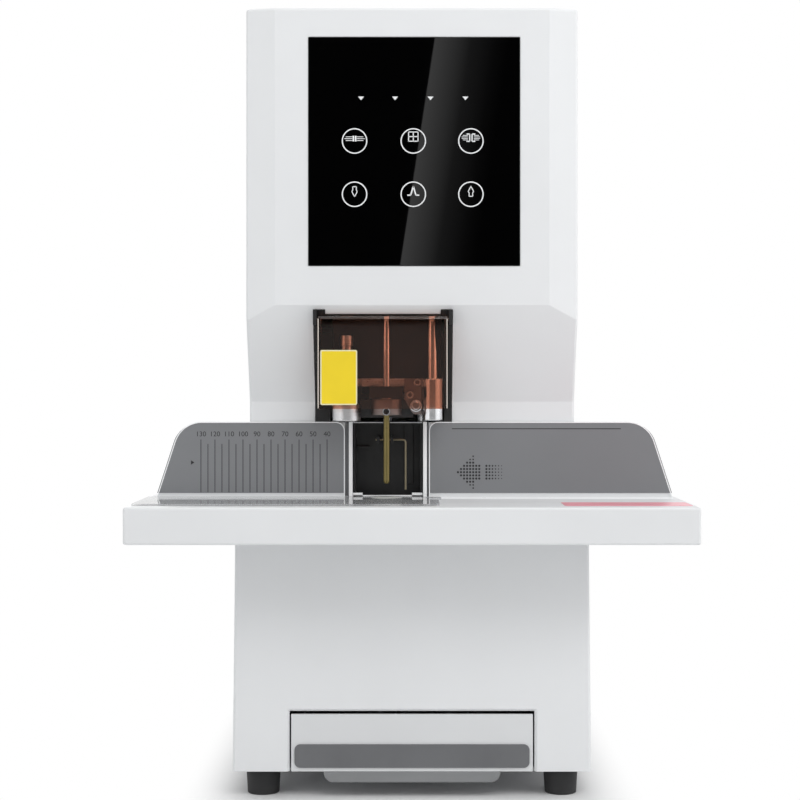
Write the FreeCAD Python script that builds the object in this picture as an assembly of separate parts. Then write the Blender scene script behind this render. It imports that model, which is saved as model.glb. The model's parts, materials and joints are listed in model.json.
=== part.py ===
import FreeCAD, Part
import math
import os

# Document riveting machine, in millimetres. X to the right, Y to the back, Z up.
# The origin is on the floor, in the middle of the machine's width and depth.

# Driving dimensions of the whole machine
overall_depth = 330.0
table_height = 208.0
table_width = 383.0
table_depth = 142.0
table_thickness = 25.0
base_top_width = 247.7
base_flare = 1.75
foot_height = 18.5
shell_wall = 3.0
fit = 0.05
seam = 0.4
overrun = 5.0

# Drill axis, and how far the other faces and axes lie from it
drill_setback = 77.0
drill_x = -18.0
head_reach = 17.0
fence_offset = 12.0
post_offset = 44.0
press_offset_y = 0.5
press_offset = 28.2
rivet_offset = 32.4
cover_depth = 30.0

# Casing sizes
head_side_step = 7.85
face_side_step = 20.3
face_chamfer = 5.0
column_rise = 14.3
column_gap = 0.5
undercut_height = 67.7
panel_margin = 27.2
crown_height = 20.6
casing_radius = 2.2
rear_radius = 6.0

# Table and what lies on it
table_wall = 4.0
table_skirt = 3.5
table_radius = 1.8
sheet_thickness = 1.5
sheet_right_reach = 4.1
sheet_margin = 3.5
sheet_front = 12.0
sheet_radius = 6.0
pad_radius = 11.0
pad_thickness = 8.0
pad_boss_wall = 2.0

# Back fences and their printed plates
fence_height = 54.7
fence_thickness = 1.5
plate_thickness = 0.5
plate_lift = 4.0
fence_border = 0.7
left_inner_gap = 3.1
right_inner_gap = 1.8
left_outer_gap = 9.7
right_outer_gap = 6.0
fence_slope_share = 0.325
fence_outer_radius = 19.5
fence_inner_radius = 5.7
fence_foot_depth = 14.0

# Window opening, its black frame and the amber guard
window_press_gap = 12.5
window_rivet_gap = 6.7
window_sill = 0.1
window_gap = 1.3
lug_rise = 3.1
lug_width = 8.0
frame_wall = 2.6
frame_bar_depth = 4.2
frame_depth = 18.0
frame_flange = 0.6
corner_width = 10.6
corner_height = 9.4
corner_depth = 9.0
guard_left_gap = 3.3
guard_right_gap = 3.5
guard_drop = 7.8
guard_height = 64.5
guard_wall = 2.0
guard_reach = 5.0
guard_top_depth = 12.0
guard_bottom_depth = 31.0
guard_shoulder = 7.0
guard_shoulder_drop = 2.2
hinge_inset = 2.5
hinge_pin_radius = 1.2
ear_reach = 3.6
ear_thickness = 2.4

# Throat between the fences
throat_left_offset = 27.5
throat_right_offset = 29.0
throat_side_gap = 3.6
rail_width = 2.7
rail_depth = 5.5
liner_gap = 2.5
liner_wall = 1.5
ledge_width = 11.0
ledge_height = 37.0
ledge_depth = 4.0
ridge_width = 6.5
ridge_bottom = 10.0
feeler_radius = 0.7
feeler_drop = 12.7
feeler_tip = 6.5
feeler_left_offset = 8.0
feeler_right_offset = 13.4
lug_thickness = 2.0
lug_reach = 1.6

# Touch panel
glass_centre_x = 1.5
glass_side_margin = 21.9
glass_height = 159.5
glass_thickness = 2.5
glass_proud = 0.5
glass_ledge = 6.0
glass_radius = 1.0
board_thickness = 1.6
touch_board_side = 15.8
touch_board_rise = 35.5
touch_board_gap = 28.0
chip_height = 2.6
chip_size = 12.0
chip_columns = 3

# Base chassis
plate_steel = 3.5
base_plate_inset = 1.0
base_plate_front = 9.0
foot_top_radius = 12.3
foot_bottom_radius = 11.2
foot_side_inset = 20.1
foot_end_inset = 20.0
foot_recess_radius = 5.6
foot_recess_depth = 8.0
screw_radius = 2.0
screw_head_radius = 3.6
screw_head_height = 2.2
chassis_thickness = 2.0
chassis_inset = 12.0
chassis_flange = 15.0
chassis_front = 30.0
deck_thickness = 5.0
deck_back_gap = 2.0

# Scrap drawer
drawer_side_margin = 39.9
drawer_side_gap = 1.1
drawer_height = 40.1
drawer_top_gap = 2.1
drawer_bevel = 1.8
drawer_recess = 0.5
drawer_front_thickness = 3.0
tray_side_gap = 6.6
tray_back_gap = 37.3
tray_drop = 6.1
tray_wall = 2.0
strip_side_gap = 2.4
strip_bottom = 2.8
strip_height = 16.4
strip_radius = 4.0
strip_thickness = 1.2
pull_side_gap = 22.7
pull_height = 7.7
pull_thickness = 4.5
pull_radius = 7.0
guide_gap = 0.6
guide_thickness = 1.5
guide_height = 20.0

# Upper frame, guide posts and lift screw
frame_offset = 2.5
frame_side_gap = 11.5
frame_plate = 5.0
frame_length = 101.0
frame_crown = 54.0
frame_window = 40.0
post_radius = 6.0
post_inset = 12.5
lower_bridge_drop = 22.8
lower_bridge_height = 12.0
top_bridge_gap = 60.4
top_bridge_height = 8.0
bridge_depth = 24.0
tongue_width = 20.0
tongue_reach = 6.0
motor_plate_gap = 28.0
motor_plate_height = 6.0
motor_plate_depth = 44.0
screw_rod_radius = 4.0
screw_rod_clear = 0.5
bearing_radius = 8.0
bearing_width = 5.0
coupling_radius = 8.0
coupling_height = 22.0
coupling_gap = 1.0
lift_motor_width = 42.3
lift_motor_height = 48.0
lift_motor_boss = 11.0
motor_boss_height = 2.0
motor_shaft_radius = 2.5
motor_shaft_depth = 9.0
needle_radius = 1.2
needle_drop = 26.0
needle_head_radius = 3.0
needle_head_height = 2.0

# Carriage
carriage_rise = 25.2
carriage_plate_height = 5.6
carriage_block_height = 45.0
carriage_top_height = 5.0
carriage_side_gap = 4.0
carriage_front_gap = 4.0
carriage_back = 14.0
block_front = 14.0
belt_plate_front = 8.0
belt_plate_margin = 2.0
bushing_radius = 9.5
bushing_length = 20.0
nut_radius = 9.0
nut_length = 46.0
nut_flange_radius = 13.0
nut_flange_height = 4.0
ear_radius = 11.0
notch_clearance = 0.6
rib_clear = 0.2
rib_depth = 8.0

# Drill drive
drill_motor_radius = 20.0
drill_motor_height = 56.0
drill_motor_gap = 3.0
drill_motor_boss = 6.0
pulley_gap = 1.4
pulley_height = 8.0
pulley_flange = 1.2
pulley_flange_height = 1.0
spindle_pulley_radius = 6.5
motor_pulley_radius = 10.0
belt_clear = 0.25
belt_thickness = 1.2
belt_width = 5.6
spindle_radius = 2.5
spindle_bore = 1.5
hub_radius = 4.0
hub_height = 15.0
spindle_top_bearing = 6.5
housing_half_width = 12.0
housing_front = 11.0
housing_back = 16.0
housing_height = 8.2
housing_floor = 1.7
chuck_radius = 10.7
chuck_height = 11.5
chuck_gap = 0.6
shank_height = 5.2
set_screw_height = 2.6
bit_radius = 2.2
bit_bore = 1.6
bit_gap = 10.0
bit_bevel = 1.4
shield_width = 38.0
shield_drop = 14.0
shield_thickness = 1.0
shield_gap = 0.3

# Press foot, rivet head and guide roller
press_foot_radius = 10.0
press_foot_drop = 24.5
press_foot_height = 12.1
press_rod_radius = 4.0
press_top_gap = 14.7
press_cap_radius = 4.6
press_cap_height = 7.3
press_collar_radius = 6.0
press_collar_height = 2.6
spring_wire = 0.6
spring_clear = 0.8
press_spring_turns = 4
rivet_radius = 7.0
rivet_drop = 24.0
rivet_height = 29.4
rivet_rod_radius = 3.6
rivet_rod_rise = 56.2
rivet_collar_radius = 6.2
rivet_collar_height = 3.0
rivet_spring_turns = 7
roller_radius = 4.3
roller_width = 4.0
roller_drop = 13.6
roller_gap = 0.3
roller_pin_radius = 1.5
bracket_thickness = 2.0
bracket_gap = 0.6
bracket_drop = 19.8

# Lower anvil
anvil_radius = 3.5
anvil_guide_radius = 6.2
anvil_guide_height = 40.0
anvil_length = 60.0
solenoid_width = 15.0
solenoid_height = 36.0
solenoid_wall = 1.5
solenoid_gap = 1.5

# Rear fittings and electrics
fan_size = 60.0
fan_depth = 15.0
fan_side = 63.85
fan_rise = 90.0
fan_rim = 2.0
fan_hub = 12.0
fan_tip_gap = 1.0
fan_blades = 7
fan_blade_thickness = 1.6
fan_blade_lean = 35.0
fan_axle_radius = 2.0
fan_arm_width = 5.0
fan_arm_thickness = 3.0
inlet_side = 53.85
inlet_rise = 40.0
inlet_width = 28.0
inlet_tall = 48.0
inlet_depth = 24.0
inlet_flange = 2.0
inlet_flange_depth = 1.8
socket_width = 22.0
socket_tall = 15.0
socket_depth = 16.0
socket_drop = 11.0
blade_thickness = 2.0
blade_width = 4.0
blade_length = 11.0
blade_pitch = 7.0
blade_offset = 2.0
rocker_width = 19.0
rocker_tall = 12.0
rocker_rise = 12.0
rocker_depth = 8.0
rocker_pin_radius = 1.2
rocker_angle = 6.0
rocker_gap = 1.4
supply_side_gap = 68.85
supply_depth = 52.0
supply_height = 36.0
supply_x = -38.0
main_board_height = 110.0
main_board_rise = 122.0
standoff_radius = 2.5
standoff_length = 6.0
vent_count = 7
vent_width = 60.0
vent_height = 4.0
vent_pitch = 10.0
vent_drop = 82.0
cover_screw_inset = 9.0

# Scrap chute
chute_wall = 1.2
chute_side_gap = 1.0
chute_clear_drawer = 2.5

# Widths worked out from the base's width
base_bottom_width = base_top_width + 2 * base_flare
head_width = base_top_width - 2 * head_side_step
face_width = head_width - 2 * face_side_step
glass_width = face_width - 2 * glass_side_margin
touch_board_width = glass_width - 2 * touch_board_side
drawer_opening_width = base_bottom_width - 2 * drawer_side_margin
drawer_width = drawer_opening_width - 2 * drawer_side_gap
tray_width = drawer_width - 2 * tray_side_gap
strip_width = drawer_width - 2 * strip_side_gap
pull_width = drawer_width - 2 * pull_side_gap
supply_width = base_top_width - 2 * supply_side_gap

# Depths worked out from the table's front edge and the drill axis
front_y = -overall_depth / 2
rear_y = overall_depth / 2 - screw_head_height
seam_y = rear_y - cover_depth
table_back_y = front_y + table_depth
drill_y = front_y + drill_setback
base_y = drill_y - solenoid_width / 2 - solenoid_gap - shell_wall
head_y = drill_y - head_reach
fence_y = drill_y + fence_offset
column_y = fence_y + plate_thickness + fence_thickness + column_gap
post_y = drill_y + post_offset
press_y = drill_y + press_offset_y
guard_y = head_y - guard_reach
hinge_y = guard_y + hinge_inset
feeler_y = fence_y - feeler_radius
liner_back_y = post_y - bridge_depth / 2 - liner_gap
liner_depth = liner_back_y - column_y
frame_y0 = post_y - bridge_depth / 2
frame_y1 = frame_y0 + frame_length
carriage_front_y = drill_y + carriage_front_gap
carriage_back_y = post_y + carriage_back
block_y = post_y - block_front
motor_y = carriage_back_y + drill_motor_gap + drill_motor_radius
belt_plate_y = drill_y - belt_plate_front
belt_plate_length = motor_y + drill_motor_radius + belt_plate_margin - belt_plate_y
tray_depth = seam_y - supply_depth - tray_back_gap - base_y - drawer_recess - drawer_front_thickness

# Places to the left and right worked out from the drill axis
rivet_x = drill_x + rivet_offset
press_x = drill_x - press_offset
window_left_x = press_x - press_foot_radius - window_press_gap
window_right_x = rivet_x + rivet_radius + window_rivet_gap
guard_left_x = window_left_x + guard_left_gap
guard_right_x = window_right_x - guard_right_gap
throat_left_x = drill_x - throat_left_offset
throat_right_x = drill_x + throat_right_offset
liner_left = throat_left_x + throat_side_gap
liner_right = throat_right_x - throat_side_gap
feeler_left_x = drill_x - feeler_left_offset
feeler_right_x = drill_x + feeler_right_offset
left_inner_x = throat_left_x - left_inner_gap
right_inner_x = throat_right_x + right_inner_gap
left_outer_x = -table_width / 2 + left_outer_gap
right_outer_x = table_width / 2 - right_outer_gap
sheet_right_x = rivet_x + sheet_right_reach
carriage_half_width = window_right_x - frame_wall - carriage_side_gap - drill_x
post_spacing = 2 * (carriage_half_width - post_inset)
frame_centre_x = drill_x - frame_offset
frame_left = frame_centre_x - carriage_half_width - frame_side_gap
frame_right = frame_centre_x + carriage_half_width + frame_side_gap
bracket_left_x = drill_x + housing_half_width + bracket_gap
roller_x = rivet_x - rivet_radius - roller_gap - roller_radius
fan_x = fan_side - base_top_width / 2
inlet_x = base_top_width / 2 - inlet_side

# Heights of the base, the table and the head
table_bottom = table_height - table_thickness
deck_bottom = table_bottom - deck_thickness
plate_top = foot_height + plate_steel
drawer_top_height = foot_height + drawer_height
drawer_opening_height = drawer_top_height + drawer_top_gap
tray_height = drawer_height - tray_drop
fan_height = plate_top + fan_rise
fan_bore = fan_size / 2 - fan_rim
fan_blade_radius = fan_bore - fan_tip_gap
inlet_z = plate_top + inlet_rise
sheet_top = table_height + sheet_thickness
fence_top = table_height + fence_height
plate_height = fence_height - plate_lift - fence_border
column_top_height = fence_top + column_rise
face_bottom_height = column_top_height + undercut_height
glass_bottom_height = face_bottom_height + panel_margin
glass_top_height = glass_bottom_height + glass_height
head_height = glass_top_height + crown_height
vent_bottom = head_height - vent_drop
undercut_slope = (face_bottom_height - column_top_height) / (column_y - head_y)
guard_top_height = face_bottom_height - guard_drop
guard_bottom_height = guard_top_height - guard_height
hinge_z = guard_top_height - hinge_inset
window_bottom_height = fence_top + window_sill
window_top_height = guard_top_height + window_gap
lug_height = window_top_height + lug_rise
feeler_z = fence_top - feeler_drop
main_board_bottom = table_height + main_board_rise

# Heights of the carriage and of the frame that carries it
carriage_bottom = window_bottom_height + carriage_rise
carriage_mid = carriage_bottom + carriage_plate_height
carriage_belt = carriage_mid + carriage_block_height
carriage_top = carriage_belt + carriage_top_height
pulley_bottom = carriage_top + pulley_gap
pulley_top = pulley_bottom + pulley_height
spindle_top = pulley_top + bearing_width / 2
housing_bottom = carriage_bottom - housing_height
rib_drop = housing_height + shield_thickness - rib_clear
chuck_top = housing_bottom - chuck_gap
chuck_bottom = chuck_top - chuck_height
hub_top = carriage_bottom - seam
hub_bottom = hub_top - hub_height
bit_tip_height = sheet_top + bit_gap
press_foot_bottom = carriage_bottom - press_foot_drop
press_rod_top = carriage_belt - press_top_gap
rivet_bottom = carriage_bottom - rivet_drop
rivet_rod_top = carriage_top + rivet_rod_rise
roller_height = carriage_bottom - roller_drop
bracket_bottom = carriage_bottom - bracket_drop
needle_tip_height = carriage_bottom - needle_drop
lower_bridge_bottom = window_bottom_height - lower_bridge_drop
top_bridge_bottom = carriage_top + top_bridge_gap
motor_plate_bottom = top_bridge_bottom + top_bridge_height + motor_plate_gap
frame_top_height = motor_plate_bottom + motor_plate_height + frame_crown


def box(x0, x1, y0, y1, z0, z1):
    return Part.makeBox(x1 - x0, y1 - y0, z1 - z0, FreeCAD.Vector(x0, y0, z0))


def rod(radius, x, y, z0, z1):
    return Part.makeCylinder(radius, z1 - z0, FreeCAD.Vector(x, y, z0), FreeCAD.Vector(0, 0, 1))


def rod_y(radius, x, z, y0, y1):
    return Part.makeCylinder(radius, y1 - y0, FreeCAD.Vector(x, y0, z), FreeCAD.Vector(0, 1, 0))


def rod_x(radius, y, z, x0, x1):
    return Part.makeCylinder(radius, x1 - x0, FreeCAD.Vector(x0, y, z), FreeCAD.Vector(1, 0, 0))


def outline(points, radii):
    # A closed flat outline whose corners are rounded by arcs. A radius of zero keeps a corner sharp.
    starts = []
    ends = []
    middles = []
    count = len(points)
    for i in range(count):
        here = FreeCAD.Vector(*points[i])
        if radii[i] == 0:
            starts.append(here)
            ends.append(here)
            middles.append(here)
            continue
        back = (FreeCAD.Vector(*points[i - 1]) - here)
        ahead = (FreeCAD.Vector(*points[(i + 1) % count]) - here)
        back.normalize()
        ahead.normalize()
        half = back.getAngle(ahead) / 2
        run = radii[i] / math.tan(half)
        starts.append(here + back * run)
        ends.append(here + ahead * run)
        bisector = back + ahead
        bisector.normalize()
        middles.append(here + bisector * (radii[i] / math.sin(half) - radii[i]))
    edges = []
    for i in range(count):
        if radii[i] > 0:
            edges.append(Part.Arc(starts[i], middles[i], ends[i]).toShape())
        after = starts[(i + 1) % count]
        edges.append(Part.LineSegment(ends[i], after).toShape())
    return Part.Face(Part.Wire(edges))


def prism_x(points, radii, x0, x1):
    face = outline([(x0, y, z) for y, z in points], radii)
    return face.extrude(FreeCAD.Vector(x1 - x0, 0, 0))


def prism_y(points, radii, y0, y1):
    face = outline([(x, y0, z) for x, z in points], radii)
    return face.extrude(FreeCAD.Vector(0, y1 - y0, 0))


def prism_z(points, radii, z0, z1):
    face = outline([(x, y, z0) for x, y in points], radii)
    return face.extrude(FreeCAD.Vector(0, 0, z1 - z0))


def rectangle(a0, a1, b0, b1):
    return [(a0, b0), (a1, b0), (a1, b1), (a0, b1)]


def taper_y(x0, x1, z0, z1, y0, grow, y1):
    # A block from a rectangle at y1 to the same rectangle, larger by grow on every side, at y0.
    wires = []
    for y, g in ((y0, grow), (y1, 0)):
        corners = rectangle(x0 - g, x1 + g, z0 - g, z1 + g)
        wires.append(Part.makePolygon([FreeCAD.Vector(x, y, z) for x, z in corners + corners[:1]]))
    return Part.makeLoft(wires, True, True)


def coil(radius, wire, turns, x, y, z0, z1):
    # One unbroken spring of round wire between two heights.
    low = z0 + wire
    pitch = (z1 - z0 - 2 * wire) / turns
    path = Part.makeHelix(pitch, pitch * turns, radius)
    start = FreeCAD.Vector(radius, 0, 0)
    rise = pitch / (2 * math.pi)
    heading = FreeCAD.Vector(0, radius, rise)
    section = Part.Wire([Part.makeCircle(wire, start, heading)])
    spring = Part.Wire(path.Edges).makePipeShell([section], True, True)
    spring.translate(FreeCAD.Vector(x, y, low))
    print("spring gap", round(pitch - 2 * wire, 2))
    return spring


def group(shapes):
    return Part.makeCompound(shapes)


# Base chassis


def foot_places():
    x = base_bottom_width / 2 - foot_side_inset
    front = base_y + foot_end_inset
    back = rear_y - foot_end_inset
    return [(-x, front), (x, front), (-x, back), (x, back)]


def make_base_plate():
    half = base_bottom_width / 2 - shell_wall - base_plate_inset
    plate = box(-half, half, base_y + base_plate_front, rear_y - shell_wall - seam, foot_height, plate_top)
    for x, y in foot_places():
        plate = plate.cut(rod(screw_radius + fit, x, y, foot_height - overrun, plate_top + overrun))
    rail = tray_width / 2 + guide_gap
    for x0 in (-rail - guide_thickness, rail):
        y0 = base_y + base_plate_front
        guide = box(x0, x0 + guide_thickness, y0, y0 + tray_depth, plate_top, plate_top + guide_height)
        plate = plate.fuse(guide)
    return plate


def make_rubber_feet():
    feet = []
    for x, y in foot_places():
        foot = Part.makeCone(foot_bottom_radius, foot_top_radius, foot_height, FreeCAD.Vector(x, y, 0))
        foot = foot.cut(rod(foot_recess_radius, x, y, -overrun, foot_recess_depth))
        foot = foot.cut(rod(screw_radius + fit, x, y, 0, foot_height + overrun))
        feet.append(foot)
    return group(feet)


def make_chassis_sides():
    sides = []
    outer = base_top_width / 2 - chassis_inset
    y0 = base_y + chassis_front
    y1 = seam_y - deck_back_gap
    for side in (-1, 1):
        web = [side * (outer - chassis_thickness), side * outer]
        arm = [side * (outer - chassis_flange), side * outer]
        shape = box(min(web), max(web), y0, y1, plate_top, deck_bottom)
        shape = shape.fuse(box(min(arm), max(arm), y0, y1, plate_top, plate_top + chassis_thickness))
        top = deck_bottom - chassis_thickness
        shape = shape.fuse(box(min(arm), max(arm), y0, y1, top, deck_bottom))
        sides.append(shape.removeSplitter())
    return group(sides)


def make_deck_plate():
    half = base_top_width / 2 - shell_wall - seam
    y0 = base_y + shell_wall + seam
    deck = box(-half, half, y0, seam_y - deck_back_gap, deck_bottom, table_bottom)
    deck = deck.cut(rod(anvil_guide_radius + fit, rivet_x, drill_y, deck_bottom - overrun, table_height))
    return deck.cut(chute_space(seam, deck_bottom - overrun, table_height))


def chute_space(margin, z0, z1):
    # The scrap chute's upright duct, as a block that is larger by a margin.
    x0 = liner_left - margin
    x1 = liner_right + margin
    y0 = column_y + chute_side_gap - margin
    return box(x0, x1, y0, liner_back_y - chute_side_gap + margin, z0, z1)


def make_scrap_chute():
    bottom = drawer_top_height + chute_clear_drawer
    outer = chute_space(0, bottom, table_height)
    return outer.cut(chute_space(-chute_wall, bottom - overrun, table_height + overrun))


# Casing


def base_block(inset, y0, y1):
    low = base_bottom_width / 2 - inset
    high = base_top_width / 2 - inset
    points = [(-low, foot_height), (low, foot_height), (high, table_bottom), (-high, table_bottom)]
    return prism_y(points, [0, 0, 0, 0], y0, y1)


def make_base_shell():
    shell = base_block(0, base_y, seam_y)
    front = [e for e in shell.Edges if abs(e.CenterOfMass.y - base_y) < fit and e.CenterOfMass.z > foot_height
             and e.CenterOfMass.z < table_bottom - fit]
    shell = shell.makeFillet(casing_radius, front)
    shell = shell.cut(cavity_of_base(base_y + shell_wall, seam_y + overrun))
    half = drawer_opening_width / 2
    low = foot_height - overrun
    shell = shell.cut(box(-half, half, base_y - overrun, base_y + 2 * shell_wall, low, drawer_opening_height))
    bevel = taper_y(-half, half, low, drawer_opening_height, base_y, drawer_bevel, base_y + drawer_bevel)
    return shell.cut(bevel)


def cavity_of_base(y0, y1):
    # The base's inside, open at the top and the bottom.
    low = base_bottom_width / 2 - shell_wall
    high = base_top_width / 2 - shell_wall
    grow = (low - high) / (table_bottom - foot_height) * overrun
    points = [(-low - grow, foot_height - overrun), (low + grow, foot_height - overrun),
              (high - grow, table_bottom + overrun), (-high + grow, table_bottom + overrun)]
    return prism_y(points, [0, 0, 0, 0], y0, y1)


def make_base_rear_cover():
    cover = base_block(0, seam_y + seam, rear_y)
    back = [e for e in cover.Edges if abs(e.CenterOfMass.y - rear_y) < fit and e.CenterOfMass.z > foot_height
            and e.CenterOfMass.z < table_bottom - fit]
    cover = cover.makeFillet(rear_radius, back)
    cover = cover.cut(cavity_of_base(seam_y - overrun, rear_y - shell_wall))
    cover = cover.cut(rod_y(fan_bore - seam, fan_x, fan_height, rear_y - cover_depth, rear_y + overrun))
    cross = fan_arm_width / 2
    bars = box(fan_x - fan_size / 2, fan_x + fan_size / 2, rear_y - shell_wall, rear_y,
               fan_height - cross / 2, fan_height + cross / 2)
    bars = bars.fuse(box(fan_x - cross / 2, fan_x + cross / 2, rear_y - shell_wall, rear_y,
                         fan_height - fan_size / 2, fan_height + fan_size / 2))
    for share in (1 / 3, 2 / 3, 1):
        ring = rod_y(fan_bore * share, fan_x, fan_height, rear_y - shell_wall, rear_y)
        bars = bars.fuse(ring.cut(rod_y(fan_bore * share - cross, fan_x, fan_height,
                                        rear_y - shell_wall - overrun, rear_y + overrun)))
    cover = cover.fuse(bars).removeSplitter()
    half = inlet_width / 2 + fit
    tall = inlet_tall / 2 + fit
    cover = cover.cut(box(inlet_x - half, inlet_x + half, seam_y, rear_y + overrun,
                          inlet_z - tall, inlet_z + tall))
    for x, z in base_cover_screws():
        cover = cover.cut(rod_y(screw_radius + fit, x, z, seam_y, rear_y + overrun))
    return cover


def base_cover_screws():
    x = base_top_width / 2 - cover_screw_inset - rear_radius
    low = foot_height + cover_screw_inset + rear_radius
    high = table_bottom - cover_screw_inset
    return [(-x, low), (x, low), (-x, high), (x, high)]


def head_cover_screws():
    x = head_width / 2 - cover_screw_inset - rear_radius
    low = table_height + cover_screw_inset
    high = head_height - cover_screw_inset - rear_radius
    return [(-x, low), (x, low), (-x, high), (x, high)]


def head_block(inset, y1):
    # The head over the column: a straight face, an undercut below it and chamfered front sides.
    low = table_height - (overrun if inset else 0)
    back = y1 + (overrun if inset else 0)
    k = math.hypot(1, undercut_slope)
    shift = inset * (k - undercut_slope)
    points = [(column_y + inset, low), (column_y + inset, column_top_height + shift),
              (head_y + inset, face_bottom_height + shift), (head_y + inset, head_height - inset),
              (back, head_height - inset), (back, low)]
    half = head_width / 2 - inset
    block = prism_x(points, [0] * len(points), -half, half)
    for side in (-1, 1):
        inner = side * (face_width / 2 - inset / 2)
        outer = side * half
        beyond = side * (half + overrun)
        y0 = head_y + inset
        reach = y0 + face_chamfer
        slope = face_chamfer / abs(outer - inner)
        wedge = [(inner, y0), (beyond, reach + slope * overrun), (beyond, y0 - overrun), (inner, y0 - overrun)]
        block = block.cut(prism_z(wedge, [0, 0, 0, 0], low - overrun, head_height + overrun))
    return block


def window_space(margin):
    # The window through the undercut, with two raised corners for the guard's hinge.
    x0 = window_left_x - margin
    x1 = window_right_x + margin
    y0 = head_y - overrun
    y1 = column_y + liner_depth
    space = box(x0, x1, y0, y1, window_bottom_height - margin, window_top_height + margin)
    for a, b in ((x0, x0 + lug_width + margin), (x1 - lug_width - margin, x1)):
        space = space.fuse(box(a, b, y0, y1, window_bottom_height, lug_height + margin))
    return space.removeSplitter()


def make_head_shell():
    block = head_block(0, seam_y)
    sharp = [e for e in block.Edges if e.CenterOfMass.y < seam_y - fit
             and e.CenterOfMass.z > table_height + fit]
    shell = block.makeFillet(casing_radius, sharp)
    shell = shell.cut(head_block(shell_wall, seam_y))
    shell = shell.cut(window_space(seam))
    shell = shell.cut(box(throat_left_x, throat_right_x, head_y, column_y + 2 * shell_wall,
                          table_height - overrun, window_bottom_height))
    x0 = glass_centre_x - glass_width / 2 - fit
    x1 = glass_centre_x + glass_width / 2 + fit
    z0 = glass_bottom_height - fit
    z1 = glass_top_height + fit
    seat = head_y + glass_thickness - glass_proud
    shell = shell.cut(box(x0, x1, head_y - overrun, seat, z0, z1))
    shell = shell.cut(box(x0 + glass_ledge, x1 - glass_ledge, head_y, head_y + 2 * shell_wall,
                          z0 + glass_ledge, z1 - glass_ledge))
    return shell


def make_head_rear_cover():
    half = head_width / 2
    cover = box(-half, half, seam_y + seam, rear_y, table_height + seam, head_height)
    back = [e for e in cover.Edges if abs(e.CenterOfMass.y - rear_y) < fit
            and e.CenterOfMass.z > table_height + shell_wall]
    cover = cover.makeFillet(rear_radius, back)
    cover = cover.cut(box(-half + shell_wall, half - shell_wall, seam_y - overrun, rear_y - shell_wall,
                          table_height + shell_wall, head_height - shell_wall))
    for i in range(vent_count):
        for side in (-1, 1):
            x0 = side * (head_width - vent_width) / 4 - vent_width / 2
            z0 = vent_bottom + i * vent_pitch
            slot = box(x0, x0 + vent_width, seam_y, rear_y + overrun, z0, z0 + vent_height)
            cover = cover.cut(slot)
    for x, z in head_cover_screws():
        cover = cover.cut(rod_y(screw_radius + fit, x, z, seam_y, rear_y + overrun))
    return cover


def make_case_screws():
    screws = []
    for x, z in base_cover_screws() + head_cover_screws():
        head = rod_y(screw_head_radius, x, z, rear_y, rear_y + screw_head_height)
        shaft = rod_y(screw_radius, x, z, rear_y - 2 * shell_wall, rear_y)
        screws.append(head.fuse(shaft).cut(hex_socket(x, z, rear_y + screw_head_height)))
    for x, y in foot_places():
        low = foot_recess_depth - screw_head_height
        head = rod(screw_head_radius, x, y, low, foot_recess_depth)
        screws.append(head.fuse(rod(screw_radius, x, y, foot_recess_depth, plate_top)))
    return group(screws)


def hex_socket(x, z, y):
    # A six-sided socket in a screw head that faces the back.
    radius = screw_radius * 2 / 3
    corners = []
    for i in range(6):
        turn = math.radians(60 * i)
        corners.append((x + radius * math.cos(turn), z + radius * math.sin(turn)))
    return prism_y(corners, [0] * 6, y - screw_head_height / 2, y + overrun)


# Table


def table_outline(inset):
    wide = table_width / 2 - inset
    narrow = base_top_width / 2 - inset
    step = table_back_y - inset
    back = rear_y - inset
    return [(-wide, front_y + inset), (wide, front_y + inset), (wide, step), (narrow, step),
            (narrow, back), (-narrow, back), (-narrow, step), (-wide, step)]


def make_table_top():
    solid = prism_z(table_outline(0), [0] * 8, table_bottom, table_height)
    front = [e for e in solid.Edges if e.CenterOfMass.y < table_back_y - table_wall]
    table = solid.makeFillet(table_radius, front)
    hollow = prism_z(table_outline(table_skirt), [0] * 8, table_bottom - overrun, table_height - table_wall)
    table = table.cut(hollow)
    narrow = base_top_width / 2
    ceiling = table_height - table_wall
    table = table.fuse(box(-narrow, narrow, base_y, base_y + table_skirt, table_bottom, ceiling))
    for side in (-1, 1):
        ends = sorted((side * narrow, side * (narrow - table_skirt)))
        table = table.fuse(box(ends[0], ends[1], base_y, table_back_y, table_bottom, ceiling))
    seat = sheet_top - pad_thickness
    table = table.fuse(rod(pad_radius + pad_boss_wall, drill_x, drill_y, table_bottom,
                           table_height - table_wall / 2))
    table = table.cut(rod(pad_radius + fit, drill_x, drill_y, seat, table_height + overrun))
    table = table.cut(rod(anvil_guide_radius + fit, rivet_x, drill_y, table_bottom, table_height + overrun))
    table = table.cut(chute_space(seam, table_bottom, table_height + overrun))
    back_opening = box(frame_left - frame_plate - seam, frame_right + frame_plate + seam,
                       frame_y0 - seam, frame_y1 + seam, table_bottom, table_height + overrun)
    return table.cut(back_opening)


def make_acrylic_sheet():
    left = -table_width / 2 + sheet_margin
    points = [(left, front_y + sheet_front), (sheet_right_x, front_y + sheet_front),
              (sheet_right_x, fence_y - seam), (left, fence_y - seam)]
    radii = [sheet_radius / 2, sheet_radius, 0, 0]
    sheet = prism_z(points, radii, table_height, sheet_top)
    sheet = sheet.cut(rod(pad_radius + seam, drill_x, drill_y, table_height - overrun, sheet_top + overrun))
    return sheet.cut(rod(anvil_guide_radius + seam, rivet_x, drill_y, table_height - overrun,
                         sheet_top + overrun))


def make_cutting_pad():
    return rod(pad_radius, drill_x, drill_y, sheet_top - pad_thickness, sheet_top)


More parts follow.
